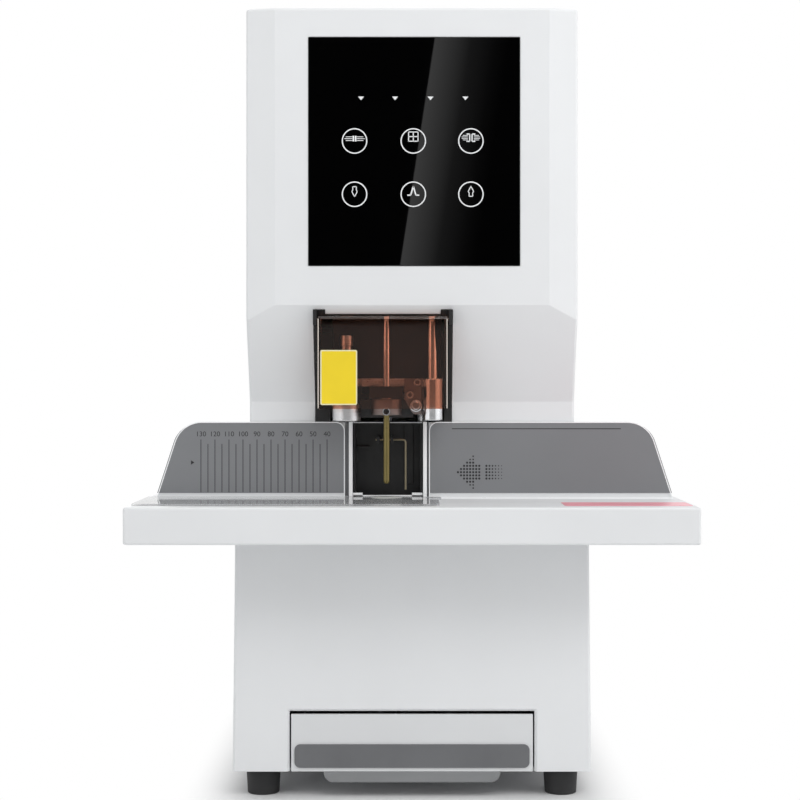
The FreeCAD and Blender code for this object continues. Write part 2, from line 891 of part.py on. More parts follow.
def plate_outline(inner_x, outer_x, low, high, grow):
    # The slanted plate: upright inner end, rounded top corners, outer end that leans in.
    side = 1 if outer_x > inner_x else -1
    outer = outer_x + side * grow
    inner = inner_x - side * grow
    lean = side * fence_slope_share * (high - low)
    points = [(inner, low), (outer, low), (outer - lean, high), (inner, high)]
    radii = [0, 0, fence_outer_radius + grow, fence_inner_radius + grow]
    return points, radii


def fence(inner_x, outer_x):
    points, radii = plate_outline(inner_x, outer_x, table_height, fence_top, fence_border)
    y0 = fence_y + plate_thickness
    sheet = prism_y(points, radii, y0, y0 + fence_thickness)
    side = 1 if outer_x > inner_x else -1
    ends = sorted((side * (head_width / 2 + seam), outer_x))
    return sheet.fuse(box(ends[0], ends[1], y0 + fence_thickness, y0 + fence_foot_depth,
                          table_height, table_height + fence_thickness))


def make_fences():
    return group([fence(left_inner_x, left_outer_x), fence(right_inner_x, right_outer_x)])


def printed_plate(inner_x, outer_x):
    low = table_height + plate_lift
    points, radii = plate_outline(inner_x, outer_x, low, low + plate_height, 0)
    return prism_y(points, radii, fence_y, fence_y + plate_thickness)


def make_scale_plate():
    return printed_plate(left_inner_x, left_outer_x)


def make_arrow_plate():
    return printed_plate(right_inner_x, right_outer_x)


# Throat


def make_throat_rails():
    rails = []
    high = fence_top
    for x0 in (throat_left_x + seam, throat_right_x - seam - rail_width):
        rails.append(box(x0, x0 + rail_width, fence_y, fence_y + rail_depth, table_height, high))
    return group(rails)


def make_throat_liner():
    x0 = liner_left
    x1 = liner_right
    y1 = liner_back_y
    low = table_height
    high = window_bottom_height - seam
    outer = box(x0, x1, column_y, y1, low, high)
    liner = outer.cut(box(x0 + liner_wall, x1 - liner_wall, column_y - overrun, y1 - liner_wall,
                          low - overrun, high - liner_wall))
    flange_y = column_y + shell_wall
    flange = box(throat_left_x - rail_width, throat_right_x + rail_width, flange_y, flange_y + liner_wall,
                 low, high)
    flange = flange.cut(box(x0 + liner_wall, x1 - liner_wall, column_y, y1, low - overrun, high - liner_wall))
    liner = liner.fuse(flange)
    ledge_z = low + ledge_height
    liner = liner.fuse(box(x0, x0 + ledge_width, y1 - liner_wall - ledge_depth, y1,
                           ledge_z - liner_wall, ledge_z))
    liner = liner.fuse(box(x1 - 2 * ridge_width, x1 - ridge_width, y1 - liner_wall - liner_wall, y1,
                           low + ridge_bottom, high))
    for x in feeler_lugs():
        arm = box(x, x + lug_thickness, feeler_y - feeler_radius - lug_reach, y1 - liner_wall / 2,
                  feeler_z - feeler_radius - lug_reach, feeler_z + feeler_radius + lug_reach)
        liner = liner.fuse(arm)
    hole = rod_x(feeler_radius + fit, feeler_y, feeler_z, x0 + liner_wall, x1 - liner_wall)
    return liner.cut(hole).removeSplitter()


def feeler_lugs():
    return [feeler_left_x + lug_thickness / 2, (feeler_left_x + feeler_right_x) / 2]


def make_paper_feeler():
    # Bent wire: an upright leg that hangs from a level pivot.
    turn = 3 * feeler_radius
    corner = FreeCAD.Vector(feeler_right_x - turn, feeler_y, feeler_z - turn)
    tip = FreeCAD.Vector(feeler_right_x, feeler_y, table_height + feeler_tip)
    low = FreeCAD.Vector(feeler_right_x, feeler_y, feeler_z - turn)
    high = FreeCAD.Vector(feeler_right_x - turn, feeler_y, feeler_z)
    across = math.sqrt(2) / 2 * turn
    middle = FreeCAD.Vector(corner.x + across, feeler_y, corner.z + across)
    end = FreeCAD.Vector(feeler_left_x, feeler_y, feeler_z)
    path = Part.Wire([Part.LineSegment(tip, low).toShape(), Part.Arc(low, middle, high).toShape(),
                      Part.LineSegment(high, end).toShape()])
    section = Part.Wire([Part.makeCircle(feeler_radius, tip, FreeCAD.Vector(0, 0, 1))])
    return path.makePipeShell([section], True, False)


# Window frame and guard


def undercut_slab(depth0, depth1):
    # The layer that lies between two depths behind the undercut face and the column face.
    shift0 = depth0 * math.hypot(1, undercut_slope)
    shift1 = depth1 * math.hypot(1, undercut_slope)

    def edge(shift, depth):
        top_y = head_y + shift / undercut_slope
        return [(column_y + depth, window_bottom_height), (column_y + depth, column_top_height),
                (top_y, face_bottom_height)]
    first = edge(shift0, depth0)
    second = edge(shift1, depth1)
    points = first + second[::-1]
    return prism_x(points, [0] * len(points), window_left_x, window_right_x)


def make_window_frame():
    outer = window_space(0)
    inner = box(window_left_x + frame_wall, window_right_x - frame_wall, head_y - 2 * overrun,
                column_y + 2 * liner_depth, window_bottom_height - overrun, window_top_height - frame_wall)
    rim = outer.cut(inner)
    bar_back = head_y + frame_bar_depth + (face_bottom_height - lug_height) / undercut_slope
    rim = rim.cut(box(window_left_x + frame_wall, window_right_x - frame_wall, bar_back,
                      column_y + 2 * liner_depth, window_bottom_height, lug_height + overrun))
    y1 = column_y + frame_depth - shell_wall
    points = [(column_y - frame_flange, window_bottom_height), (column_y - frame_flange, column_top_height),
              (head_y - frame_flange + (face_bottom_height - lug_height) / undercut_slope, lug_height),
              (y1, lug_height), (y1, window_bottom_height)]
    band = prism_x(points, [0] * len(points), window_left_x, window_right_x)
    frame = rim.common(band)
    for x0, x1 in corner_spans():
        frame = frame.fuse(box(x0, x1, column_y - shell_wall, column_y - shell_wall + corner_depth,
                               window_bottom_height, window_bottom_height + corner_height))
    reach = hinge_y - hinge_pin_radius - ear_reach / 2
    for x0 in (window_left_x, window_right_x - ear_thickness):
        ear = box(x0, x0 + ear_thickness, reach, head_y + 2 * ear_reach, hinge_z - ear_reach, lug_height)
        frame = frame.fuse(ear)
    frame = frame.cut(rod_x(hinge_pin_radius + fit, hinge_y, hinge_z, window_left_x - overrun,
                            window_right_x + overrun))
    return frame.removeSplitter()


def corner_spans():
    return ((window_left_x, window_left_x + corner_width), (window_right_x - corner_width / 2, window_right_x))


def make_amber_guard():
    y0 = guard_y
    points = [(y0, guard_bottom_height), (y0 + guard_bottom_depth, guard_bottom_height),
              (y0 + guard_top_depth, guard_top_height - guard_shoulder_drop),
              (y0 + guard_shoulder, guard_top_height - guard_shoulder_drop),
              (y0 + guard_shoulder, guard_top_height), (y0, guard_top_height)]
    radii = [0, 0, 0, 0, 0, hinge_inset]
    shell = prism_x(points, radii, guard_left_x, guard_right_x)
    shell = shell.cut(box(guard_left_x + guard_wall, guard_right_x - guard_wall, y0 + guard_wall,
                          y0 + 2 * guard_bottom_depth, guard_bottom_height - overrun,
                          guard_top_height + overrun))
    ends = ((window_left_x, guard_left_x + guard_wall), (guard_right_x - guard_wall, window_right_x))
    for x0, x1 in ends:
        shell = shell.fuse(rod_x(hinge_pin_radius, hinge_y, hinge_z, x0, x1))
    return shell.removeSplitter()


# Touch panel


def make_touch_glass():
    half = glass_width / 2
    y0 = head_y - glass_proud
    points = rectangle(glass_centre_x - half, glass_centre_x + half, glass_bottom_height, glass_top_height)
    return prism_y(points, [glass_radius] * 4, y0, y0 + glass_thickness)


def make_touch_board():
    y0 = head_y - glass_proud + glass_thickness
    half = touch_board_width / 2
    z1 = glass_top_height - touch_board_gap
    z0 = glass_bottom_height + touch_board_rise
    board = box(glass_centre_x - half, glass_centre_x + half, y0, y0 + board_thickness, z0, z1)
    for i in range(chip_columns):
        x = glass_centre_x + (i - (chip_columns - 1) / 2) * touch_board_width / chip_columns
        z = (z0 + z1) / 2
        board = board.fuse(box(x - chip_size / 2, x + chip_size / 2, y0 + board_thickness,
                               y0 + board_thickness + chip_height, z - chip_size / 2, z + chip_size / 2))
    return board


# Upper frame and lift


def make_side_frames():
    frames = []
    for x0 in (frame_left - frame_plate, frame_right):
        side = box(x0, x0 + frame_plate, frame_y0, frame_y1, table_bottom, frame_top_height)
        rim = (frame_length - frame_window) / 2
        for low, high in ((table_height + frame_window, lower_bridge_bottom + 2 * frame_window),
                          (top_bridge_bottom - frame_window, top_bridge_bottom + frame_window)):
            points = rectangle(post_y + bridge_depth, frame_y1 - rim / 2, low, high)
            hole = outline([(x0 - overrun, y, z) for y, z in points], [rim / 4] * 4)
            side = side.cut(hole.extrude(FreeCAD.Vector(frame_plate + 2 * overrun, 0, 0)))
        frames.append(side)
    return group(frames)


def post_places():
    return [(drill_x - post_spacing / 2, post_y), (drill_x + post_spacing / 2, post_y)]


def bridge(bottom, height, depth):
    plate = box(frame_left, frame_right, post_y - depth / 2, post_y + depth / 2, bottom, bottom + height)
    return plate


def make_frame_bridges():
    lower = bridge(lower_bridge_bottom, lower_bridge_height, bridge_depth)
    top = bridge(top_bridge_bottom, top_bridge_height, bridge_depth)
    tongue = box(drill_x - tongue_width / 2, drill_x + tongue_width / 2, drill_y - tongue_reach, post_y,
                 top_bridge_bottom, top_bridge_bottom + top_bridge_height)
    top = top.fuse(tongue).removeSplitter()
    low_top = lower_bridge_bottom + lower_bridge_height
    high_top = top_bridge_bottom + top_bridge_height
    for x, y in post_places():
        hole = rod(post_radius + fit, x, y, lower_bridge_bottom - overrun, high_top + overrun)
        lower = lower.cut(hole)
        top = top.cut(hole)
    clear = rod(screw_rod_radius + screw_rod_clear, drill_x, post_y, lower_bridge_bottom - overrun,
                high_top + overrun)
    lower = lower.cut(clear).cut(rod(bearing_radius + fit, drill_x, post_y, low_top - bearing_width,
                                     low_top + overrun))
    top = top.cut(clear).cut(rod(bearing_radius + fit, drill_x, post_y, high_top - bearing_width,
                                 high_top + overrun))
    top = top.cut(rod(needle_radius + fit, drill_x, drill_y, top_bridge_bottom - overrun, high_top + overrun))
    motor = bridge(motor_plate_bottom, motor_plate_height, motor_plate_depth)
    motor = motor.cut(rod(lift_motor_boss + fit, drill_x, post_y, motor_plate_bottom - overrun,
                          motor_plate_bottom + motor_plate_height + overrun))
    return group([lower, top, motor])


def make_guide_posts():
    high = top_bridge_bottom + top_bridge_height
    return group([rod(post_radius, x, y, lower_bridge_bottom, high) for x, y in post_places()])


def ring(outer, inner, x, y, z0, z1):
    return rod(outer, x, y, z0, z1).cut(rod(inner, x, y, z0 - overrun, z1 + overrun))


def make_screw_bearings():
    rings = []
    for top in (lower_bridge_bottom + lower_bridge_height, top_bridge_bottom + top_bridge_height):
        rings.append(ring(bearing_radius, screw_rod_radius + fit, drill_x, post_y, top - bearing_width, top))
    return group(rings)


def make_lift_screw():
    low = lower_bridge_bottom + screw_rod_radius / 2
    coupling_bottom = top_bridge_bottom + top_bridge_height + coupling_gap
    coupling_top = coupling_bottom + coupling_height
    screw = rod(screw_rod_radius, drill_x, post_y, low, coupling_bottom)
    coupling = rod(coupling_radius, drill_x, post_y, coupling_bottom, coupling_top)
    shaft_top = motor_plate_bottom + motor_plate_height + motor_shaft_depth
    shaft = rod(motor_shaft_radius, drill_x, post_y, coupling_top, shaft_top)
    return screw.fuse([coupling, shaft]).removeSplitter()


def make_lift_motor():
    low = motor_plate_bottom + motor_plate_height
    half = lift_motor_width / 2
    cut = lift_motor_width / 10
    points = rectangle(drill_x - half, drill_x + half, post_y - half, post_y + half)
    motor = prism_z(points, [cut] * 4, low, low + lift_motor_height)
    motor = motor.fuse(rod(lift_motor_boss, drill_x, post_y, low - motor_boss_height, low))
    bore = rod(motor_shaft_radius + fit, drill_x, post_y, low - motor_plate_height,
               low + motor_shaft_depth + seam)
    return motor.cut(bore)


def make_clearing_needle():
    high = top_bridge_bottom + top_bridge_height
    needle = rod(needle_radius, drill_x, drill_y, needle_tip_height, high)
    return needle.fuse(rod(needle_head_radius, drill_x, drill_y, high, high + needle_head_height))


# Carriage


def carriage_holes(z0, z1):
    holes = rod(nut_radius + fit, drill_x, post_y, z0, z1)
    for x, y in post_places():
        holes = holes.fuse(rod(bushing_radius + fit, x, y, z0, z1))
    return holes


def make_carriage_plate():
    x0 = drill_x - carriage_half_width
    x1 = drill_x + carriage_half_width
    plate = box(x0, x1, carriage_front_y, carriage_back_y, carriage_bottom, carriage_mid)
    plate = plate.fuse(rod(ear_radius, press_x, press_y, carriage_bottom, carriage_mid))
    drop = carriage_bottom - rib_drop
    rib_right = rivet_x - rivet_radius - notch_clearance - seam
    rib = box(bracket_left_x, rib_right, carriage_front_y, carriage_front_y + rib_depth, drop, carriage_bottom)
    plate = plate.fuse(rib).removeSplitter()
    notch = rod(rivet_radius + notch_clearance, rivet_x, drill_y, drop - overrun, carriage_mid + overrun)
    plate = plate.cut(notch)
    plate = plate.cut(rod(press_rod_radius + fit, press_x, press_y, drop, carriage_mid + overrun))
    return plate.cut(carriage_holes(drop, carriage_mid + overrun))


def make_carriage_frame():
    # The upright block and the belt plate above it are one casting.
    x0 = drill_x - carriage_half_width
    x1 = drill_x + carriage_half_width
    frame = box(x0, x1, block_y, carriage_back_y, carriage_mid, carriage_belt)
    top = box(x0, x1, belt_plate_y, belt_plate_y + belt_plate_length, carriage_belt, carriage_top)
    frame = frame.fuse(top).removeSplitter()
    low = carriage_mid - overrun
    high = carriage_top + overrun
    frame = frame.cut(carriage_holes(low, high))
    frame = frame.cut(rod(spindle_top_bearing + fit, drill_x, drill_y, low, high))
    frame = frame.cut(rod(rivet_rod_radius + fit, rivet_x, drill_y, low, high))
    return frame.cut(rod(drill_motor_boss + fit, drill_x, motor_y, low, high))


def make_carriage_bushings():
    pieces = []
    for x, y in post_places():
        for z0 in (carriage_bottom, carriage_top - bushing_length):
            pieces.append(ring(bushing_radius, post_radius + fit, x, y, z0, z0 + bushing_length))
    low = carriage_bottom - nut_flange_height
    nut = rod(nut_flange_radius, drill_x, post_y, low, carriage_bottom)
    nut = nut.fuse(rod(nut_radius, drill_x, post_y, carriage_bottom, low + nut_length))
    pieces.append(nut.cut(rod(screw_rod_radius + fit, drill_x, post_y, low - overrun, carriage_top)))
    return group(pieces)


def make_spindle_housing():
    housing = box(drill_x - housing_half_width, drill_x + housing_half_width, drill_y - housing_front,
                  drill_y + housing_back, housing_bottom, carriage_bottom)
    seat = housing_bottom + housing_floor
    housing = housing.cut(rod(bearing_radius + fit, drill_x, drill_y, seat, carriage_bottom + overrun))
    housing = housing.cut(rod(hub_radius + seam, drill_x, drill_y, housing_bottom - overrun, seat))
    shield_y = drill_y + chuck_radius + shield_gap
    shield = box(drill_x - shield_width / 2, drill_x + shield_width / 2, shield_y, shield_y + shield_thickness,
                 housing_bottom - shield_drop, housing_bottom - shield_thickness)
    tab = box(drill_x - housing_half_width, bracket_left_x - seam, shield_y, shield_y + shield_thickness,
              housing_bottom - shield_thickness, housing_bottom + shield_thickness)
    return housing.fuse([shield, tab]).removeSplitter()


def make_spindle_bearings():
    seat = housing_bottom + housing_floor
    lower = ring(bearing_radius, hub_radius + fit, drill_x, drill_y, seat, seat + bearing_width)
    upper = ring(spindle_top_bearing, spindle_radius + fit, drill_x, drill_y, carriage_belt, carriage_top)
    return group([lower, upper])


def flanged_pulley(radius, x, y):
    pulley = rod(radius, x, y, pulley_bottom, pulley_top)
    for z0 in (pulley_bottom, pulley_top - pulley_flange_height):
        pulley = pulley.fuse(rod(radius + pulley_flange, x, y, z0, z0 + pulley_flange_height))
    return pulley


def make_drill_spindle():
    hub = rod(hub_radius, drill_x, drill_y, hub_bottom, hub_top)
    shaft = rod(spindle_radius, drill_x, drill_y, hub_top, spindle_top)
    spindle = hub.fuse([shaft, flanged_pulley(spindle_pulley_radius, drill_x, drill_y)]).removeSplitter()
    return spindle.cut(rod(spindle_bore, drill_x, drill_y, hub_bottom - overrun, spindle_top + overrun))


def make_drill_chuck():
    chuck = rod(chuck_radius, drill_x, drill_y, chuck_bottom, chuck_top)
    rims = [e for e in chuck.Edges if len(e.Vertexes) == 1]
    chuck = chuck.makeChamfer(seam, rims)
    chuck = chuck.cut(rod(hub_radius + fit, drill_x, drill_y, chuck_bottom - overrun, chuck_top + overrun))
    z = chuck_bottom + set_screw_height
    return chuck.cut(rod_y(screw_radius + fit, drill_x, z, drill_y - 2 * chuck_radius, drill_y))


def make_chuck_screw():
    z = chuck_bottom + set_screw_height
    y0 = drill_y - chuck_radius + seam
    screw = rod_y(screw_radius, drill_x, z, y0, drill_y - hub_radius - fit)
    return screw.cut(rod_y(screw_radius / 2, drill_x, z, y0 - overrun, y0 + screw_radius))


def make_drill_bit():
    shank_top = hub_bottom
    shank_bottom = shank_top - shank_height
    bit = rod(hub_radius, drill_x, drill_y, shank_bottom, shank_top)
    tube = rod(bit_radius, drill_x, drill_y, bit_tip_height + bit_bevel, shank_bottom)
    edge = Part.makeCone(bit_bore + fit, bit_radius, bit_bevel,
                         FreeCAD.Vector(drill_x, drill_y, bit_tip_height))
    bit = bit.fuse([tube, edge])
    return bit.cut(rod(bit_bore, drill_x, drill_y, bit_tip_height - overrun, shank_top + overrun))


def make_drill_motor():
    motor = rod(drill_motor_radius, drill_x, motor_y, carriage_belt - drill_motor_height, carriage_belt)
    motor = motor.fuse(rod(drill_motor_boss, drill_x, motor_y, carriage_belt,
                           carriage_belt + motor_boss_height))
    bore = rod(motor_shaft_radius + fit, drill_x, motor_y, carriage_belt - motor_shaft_depth, carriage_top)
    return motor.cut(bore)


def make_motor_pulley():
    shaft = rod(motor_shaft_radius, drill_x, motor_y, carriage_belt - motor_shaft_depth + seam, spindle_top)
    return shaft.fuse(flanged_pulley(motor_pulley_radius, drill_x, motor_y)).removeSplitter()


def belt_loop(grow, z0, z1):
    # The outline of a belt around both pulleys: two circles and their outer tangents.
    r1 = spindle_pulley_radius + grow
    r2 = motor_pulley_radius + grow
    lean = math.asin((r2 - r1) / (motor_y - drill_y))
    points = []
    for y, r in ((drill_y, r1), (motor_y, r2)):
        points.append((drill_x + r * math.cos(lean), y - r * math.sin(lean)))
    right1, right2 = points
    mirror = 2 * drill_x
    hull = Part.makePolygon([FreeCAD.Vector(right1[0], right1[1], z0), FreeCAD.Vector(right2[0], right2[1], z0),
                             FreeCAD.Vector(mirror - right2[0], right2[1], z0),
                             FreeCAD.Vector(mirror - right1[0], right1[1], z0),
                             FreeCAD.Vector(right1[0], right1[1], z0)])
    solid = Part.Face(hull).extrude(FreeCAD.Vector(0, 0, z1 - z0))
    return solid.fuse([rod(r1, drill_x, drill_y, z0, z1), rod(r2, drill_x, motor_y, z0, z1)]).removeSplitter()


def make_drill_belt():
    z0 = pulley_bottom + (pulley_height - belt_width) / 2
    z1 = z0 + belt_width
    outer = belt_loop(belt_clear + belt_thickness, z0, z1)
    return outer.cut(belt_loop(belt_clear, z0 - overrun, z1 + overrun))


def make_press_foot():
    top = press_foot_bottom + press_foot_height
    foot = rod(press_foot_radius, press_x, press_y, press_foot_bottom, top)
    rims = [e for e in foot.Edges if len(e.Vertexes) == 1]
    foot = foot.makeChamfer(seam, rims)
    high = press_rod_top
    foot = foot.fuse(rod(press_rod_radius, press_x, press_y, top, high))
    foot = foot.fuse(rod(press_cap_radius, press_x, press_y, high - press_cap_height, high))
    collar = carriage_mid + seam
    return foot.fuse(rod(press_collar_radius, press_x, press_y, collar, collar + press_collar_height))


def make_press_spring():
    low = press_foot_bottom + press_foot_height
    return coil(press_rod_radius + spring_clear + spring_wire, spring_wire, press_spring_turns,
                press_x, press_y, low, carriage_bottom)


def make_rivet_head():
    top = rivet_bottom + rivet_height
    head = rod(rivet_radius, rivet_x, drill_y, rivet_bottom, top)
    rims = [e for e in head.Edges if len(e.Vertexes) == 1]
    head = head.makeChamfer(seam, rims)
    head = head.fuse(rod(rivet_rod_radius, rivet_x, drill_y, top, rivet_rod_top))
    return head.fuse(rod(rivet_collar_radius, rivet_x, drill_y, rivet_rod_top - rivet_collar_height,
                         rivet_rod_top))


def make_rivet_spring():
    return coil(rivet_rod_radius + spring_clear + spring_wire, spring_wire, rivet_spring_turns,
                rivet_x, drill_y, carriage_top, rivet_rod_top - rivet_collar_height)


def roller_front():
    return drill_y + carriage_front_gap - bracket_thickness - seam - roller_width


def make_roller_bracket():
    y1 = carriage_front_y
    y0 = y1 - bracket_thickness
    right = rivet_x - rivet_radius - notch_clearance
    cap_radius = screw_head_radius * 3 / 4
    high = (carriage_bottom + carriage_mid) / 2
    low = carriage_bottom - rib_drop * 2 / 3
    points = [(bracket_left_x, carriage_mid), (right, carriage_mid), (right, bracket_bottom),
              (roller_x - roller_radius / 2, bracket_bottom), (bracket_left_x, low - cap_radius)]
    plate = prism_y(points, [0, 0, 0, roller_radius, cap_radius], y0, y1)
    pin = rod_y(roller_pin_radius, roller_x, roller_height, roller_front() - seam, y0)
    head = rod_y(roller_radius / 2, roller_x, roller_height, roller_front() - seam - bracket_thickness / 2,
                 roller_front() - seam)
    bracket = plate.fuse([pin, head])
    for x, z in ((roller_x + bracket_thickness / 2, high), (bracket_left_x + 2 * screw_radius, low)):
        cap = rod_y(cap_radius, x, z, y0 - bracket_thickness, y0)
        bracket = bracket.fuse(cap.cut(rod_y(screw_radius * 2 / 3, x, z, y0 - 2 * bracket_thickness,
                                             y0 - bracket_thickness / 2)))
    return bracket.removeSplitter()


def make_guide_roller():
    y0 = roller_front()
    wheel = rod_y(roller_radius, roller_x, roller_height, y0, y0 + roller_width)
    groove = rod_y(roller_radius * 3 / 4, roller_x, roller_height, y0 - overrun, y0 + seam)
    groove = groove.cut(rod_y(roller_radius * 0.55, roller_x, roller_height, y0 - overrun, y0 + seam))
    wheel = wheel.cut(groove)
    return wheel.cut(rod_y(roller_pin_radius + fit, roller_x, roller_height, y0 - overrun,
                           y0 + roller_width + overrun))


# Lower anvil


def make_anvil_guide():
    low = table_height - anvil_guide_height
    guide = ring(anvil_guide_radius, anvil_radius + fit, rivet_x, drill_y, low, sheet_top)
    half = solenoid_width / 2
    bottom = low - solenoid_height
    case = box(rivet_x - half, rivet_x + half, drill_y - half, drill_y + half, bottom, low)
    hollow = rod(anvil_radius + fit, rivet_x, drill_y, bottom + solenoid_wall, low + overrun)
    collar = box(rivet_x - 2 * half, rivet_x + 2 * half, drill_y - half, drill_y + half,
                 deck_bottom - solenoid_wall, deck_bottom)
    collar = collar.cut(rod(anvil_guide_radius - fit, rivet_x, drill_y, deck_bottom - overrun,
                            deck_bottom + overrun))
    return guide.fuse([case.cut(hollow), collar]).removeSplitter()


def make_lower_anvil():
    anvil = rod(anvil_radius, rivet_x, drill_y, sheet_top - anvil_length, sheet_top)
    dimple = Part.makeSphere(anvil_radius, FreeCAD.Vector(rivet_x, drill_y, sheet_top + anvil_radius * 3 / 4))
    return anvil.cut(dimple)


# Scrap drawer


def make_drawer_front():
    half = drawer_width / 2
    y0 = base_y + drawer_recess
    return box(-half, half, y0, y0 + drawer_front_thickness, foot_height, drawer_top_height)


def make_drawer_strip():
    half = strip_width / 2
    low = foot_height + strip_bottom
    y1 = base_y + drawer_recess
    points = rectangle(-half, half, low, low + strip_height)
    return prism_y(points, [strip_radius] * 4, y1 - strip_thickness, y1)


def make_drawer_pull():
    half = pull_width / 2
    low = foot_height - pull_height
    y0 = base_y + drawer_recess
    points = rectangle(-half, half, low, foot_height)
    return prism_y(points, [pull_radius, pull_radius, 0, 0], y0, y0 + pull_thickness)


def make_scrap_tray():
    half = tray_width / 2
    y0 = base_y + drawer_recess + drawer_front_thickness
    low = plate_top + seam
    high = low + tray_height
    tray = box(-half, half, y0, y0 + tray_depth, low, high)
    return tray.cut(box(-half + tray_wall, half - tray_wall, y0 + tray_wall, y0 + tray_depth - tray_wall,
                        low + tray_wall, high + overrun))


# Electrics and rear fittings


def make_power_supply():
    half = supply_width / 2
    y1 = rear_y - cover_depth
    supply = box(supply_x - half, supply_x + half, y1 - supply_depth, y1, plate_top, plate_top + supply_height)
    return supply


def make_main_board():
    y0 = frame_y1 + standoff_length
    z0 = main_board_bottom
    z1 = z0 + main_board_height
    left = frame_left - frame_plate
    right = frame_right + frame_plate
    board = box(left, right, y0, y0 + board_thickness, z0, z1)
    for x in (left + frame_plate / 2, right - frame_plate / 2):
        for z in (z0 + 2 * standoff_radius, z1 - 2 * standoff_radius):
            board = board.fuse(rod_y(standoff_radius, x, z, frame_y1, y0))
    for i in range(chip_columns):
        x = frame_centre_x + (i - (chip_columns - 1) / 2) * (frame_right - frame_left) / chip_columns
        z = (z0 + z1) / 2
        board = board.fuse(box(x - chip_size, x + chip_size, y0 + board_thickness,
                               y0 + board_thickness + 2 * chip_height, z - chip_size, z + chip_size))
    return board


def make_fan_frame():
    half = fan_size / 2
    y1 = rear_y - shell_wall - fit
    y0 = y1 - fan_depth
    frame = box(fan_x - half, fan_x + half, y0, y1, fan_height - half, fan_height + half)
    frame = frame.cut(rod_y(fan_bore, fan_x, fan_height, y0 - overrun, y1 + overrun))
    arm = fan_arm_width / 2
    bar = fan_arm_thickness
    frame = frame.fuse(box(fan_x - half, fan_x + half, y0, y0 + bar, fan_height - arm, fan_height + arm))
    frame = frame.fuse(box(fan_x - arm, fan_x + arm, y0, y0 + bar, fan_height - half, fan_height + half))
    frame = frame.fuse(rod_y(fan_hub, fan_x, fan_height, y0, y0 + bar))
    frame = frame.fuse(rod_y(fan_axle_radius, fan_x, fan_height, y0 + bar, y1 - bar))
    return frame.removeSplitter()


def make_fan_rotor():
    y1 = rear_y - shell_wall - fit - fan_arm_thickness / 2
    y0 = rear_y - shell_wall - fit - fan_depth + fan_arm_thickness + seam
    rotor = rod_y(fan_hub, fan_x, fan_height, y0, y1)
    middle = (y0 + y1) / 2
    reach = (y1 - y0) / 2 - fan_blade_thickness
    for i in range(fan_blades):
        blade = box(fan_x + fan_hub / 2, fan_x + fan_blade_radius, middle - fan_blade_thickness / 2,
                    middle + fan_blade_thickness / 2, fan_height - reach, fan_height + reach)
        centre = FreeCAD.Vector(fan_x, middle, fan_height)
        blade.rotate(centre, FreeCAD.Vector(1, 0, 0), fan_blade_lean)
        blade.rotate(centre, FreeCAD.Vector(0, 1, 0), 360 * i / fan_blades)
        rotor = rotor.fuse(blade)
    rotor = rotor.common(rod_y(fan_blade_radius, fan_x, fan_height, y0, y1))
    return rotor.cut(rod_y(fan_axle_radius + fit, fan_x, fan_height, y0 - overrun, y1 - fan_arm_thickness / 2))


def make_power_inlet():
    half = inlet_width / 2
    tall = inlet_tall / 2
    y1 = rear_y + inlet_flange_depth
    inlet = box(inlet_x - half, inlet_x + half, rear_y - inlet_depth, rear_y, inlet_z - tall, inlet_z + tall)
    rim = inlet_flange
    inlet = inlet.fuse(box(inlet_x - half - rim, inlet_x + half + rim, rear_y, y1,
                           inlet_z - tall - rim, inlet_z + tall + rim))
    z = inlet_z - socket_drop
    points = rectangle(inlet_x - socket_width / 2, inlet_x + socket_width / 2,
                       z - socket_tall / 2, z + socket_tall / 2)
    corner = socket_tall / 4
    inlet = inlet.cut(prism_y(points, [fit, fit, corner, corner], y1 - socket_depth, y1 + overrun))
    for x, lift in ((inlet_x - blade_pitch, -blade_offset), (inlet_x, blade_offset),
                    (inlet_x + blade_pitch, -blade_offset)):
        pin = box(x - blade_thickness / 2, x + blade_thickness / 2, y1 - socket_depth,
                  y1 - socket_depth + blade_length, z + lift - blade_width / 2, z + lift + blade_width / 2)
        inlet = inlet.fuse(pin)
    z = inlet_z + rocker_rise
    inlet = inlet.cut(box(inlet_x - rocker_width / 2, inlet_x + rocker_width / 2, y1 - rocker_depth - seam,
                          y1 + overrun, z - rocker_tall / 2, z + rocker_tall / 2))
    hinge = rear_y - rocker_depth / 2
    return inlet.cut(rod_x(rocker_pin_radius + fit, hinge, z, inlet_x - rocker_width / 2 - rocker_pin_radius,
                           inlet_x + rocker_width / 2 + rocker_pin_radius))


def make_power_rocker():
    z = inlet_z + rocker_rise
    hinge = rear_y - rocker_depth / 2
    half = rocker_tall / 2 - rocker_gap
    face = rear_y + inlet_flange_depth
    dip = half * math.tan(math.radians(rocker_angle))
    points = [(hinge, z - half), (face - dip, z - half), (face - dip / 4, z), (face + dip / 2, z + half),
              (hinge, z + half)]
    x0 = inlet_x - rocker_width / 2 + seam
    x1 = inlet_x + rocker_width / 2 - seam
    rocker = prism_x(points, [0] * len(points), x0, x1)
    return rocker.fuse(rod_x(rocker_pin_radius, hinge, z, x0 - seam - rocker_pin_radius + fit,
                             x1 + seam + rocker_pin_radius - fit)).removeSplitter()


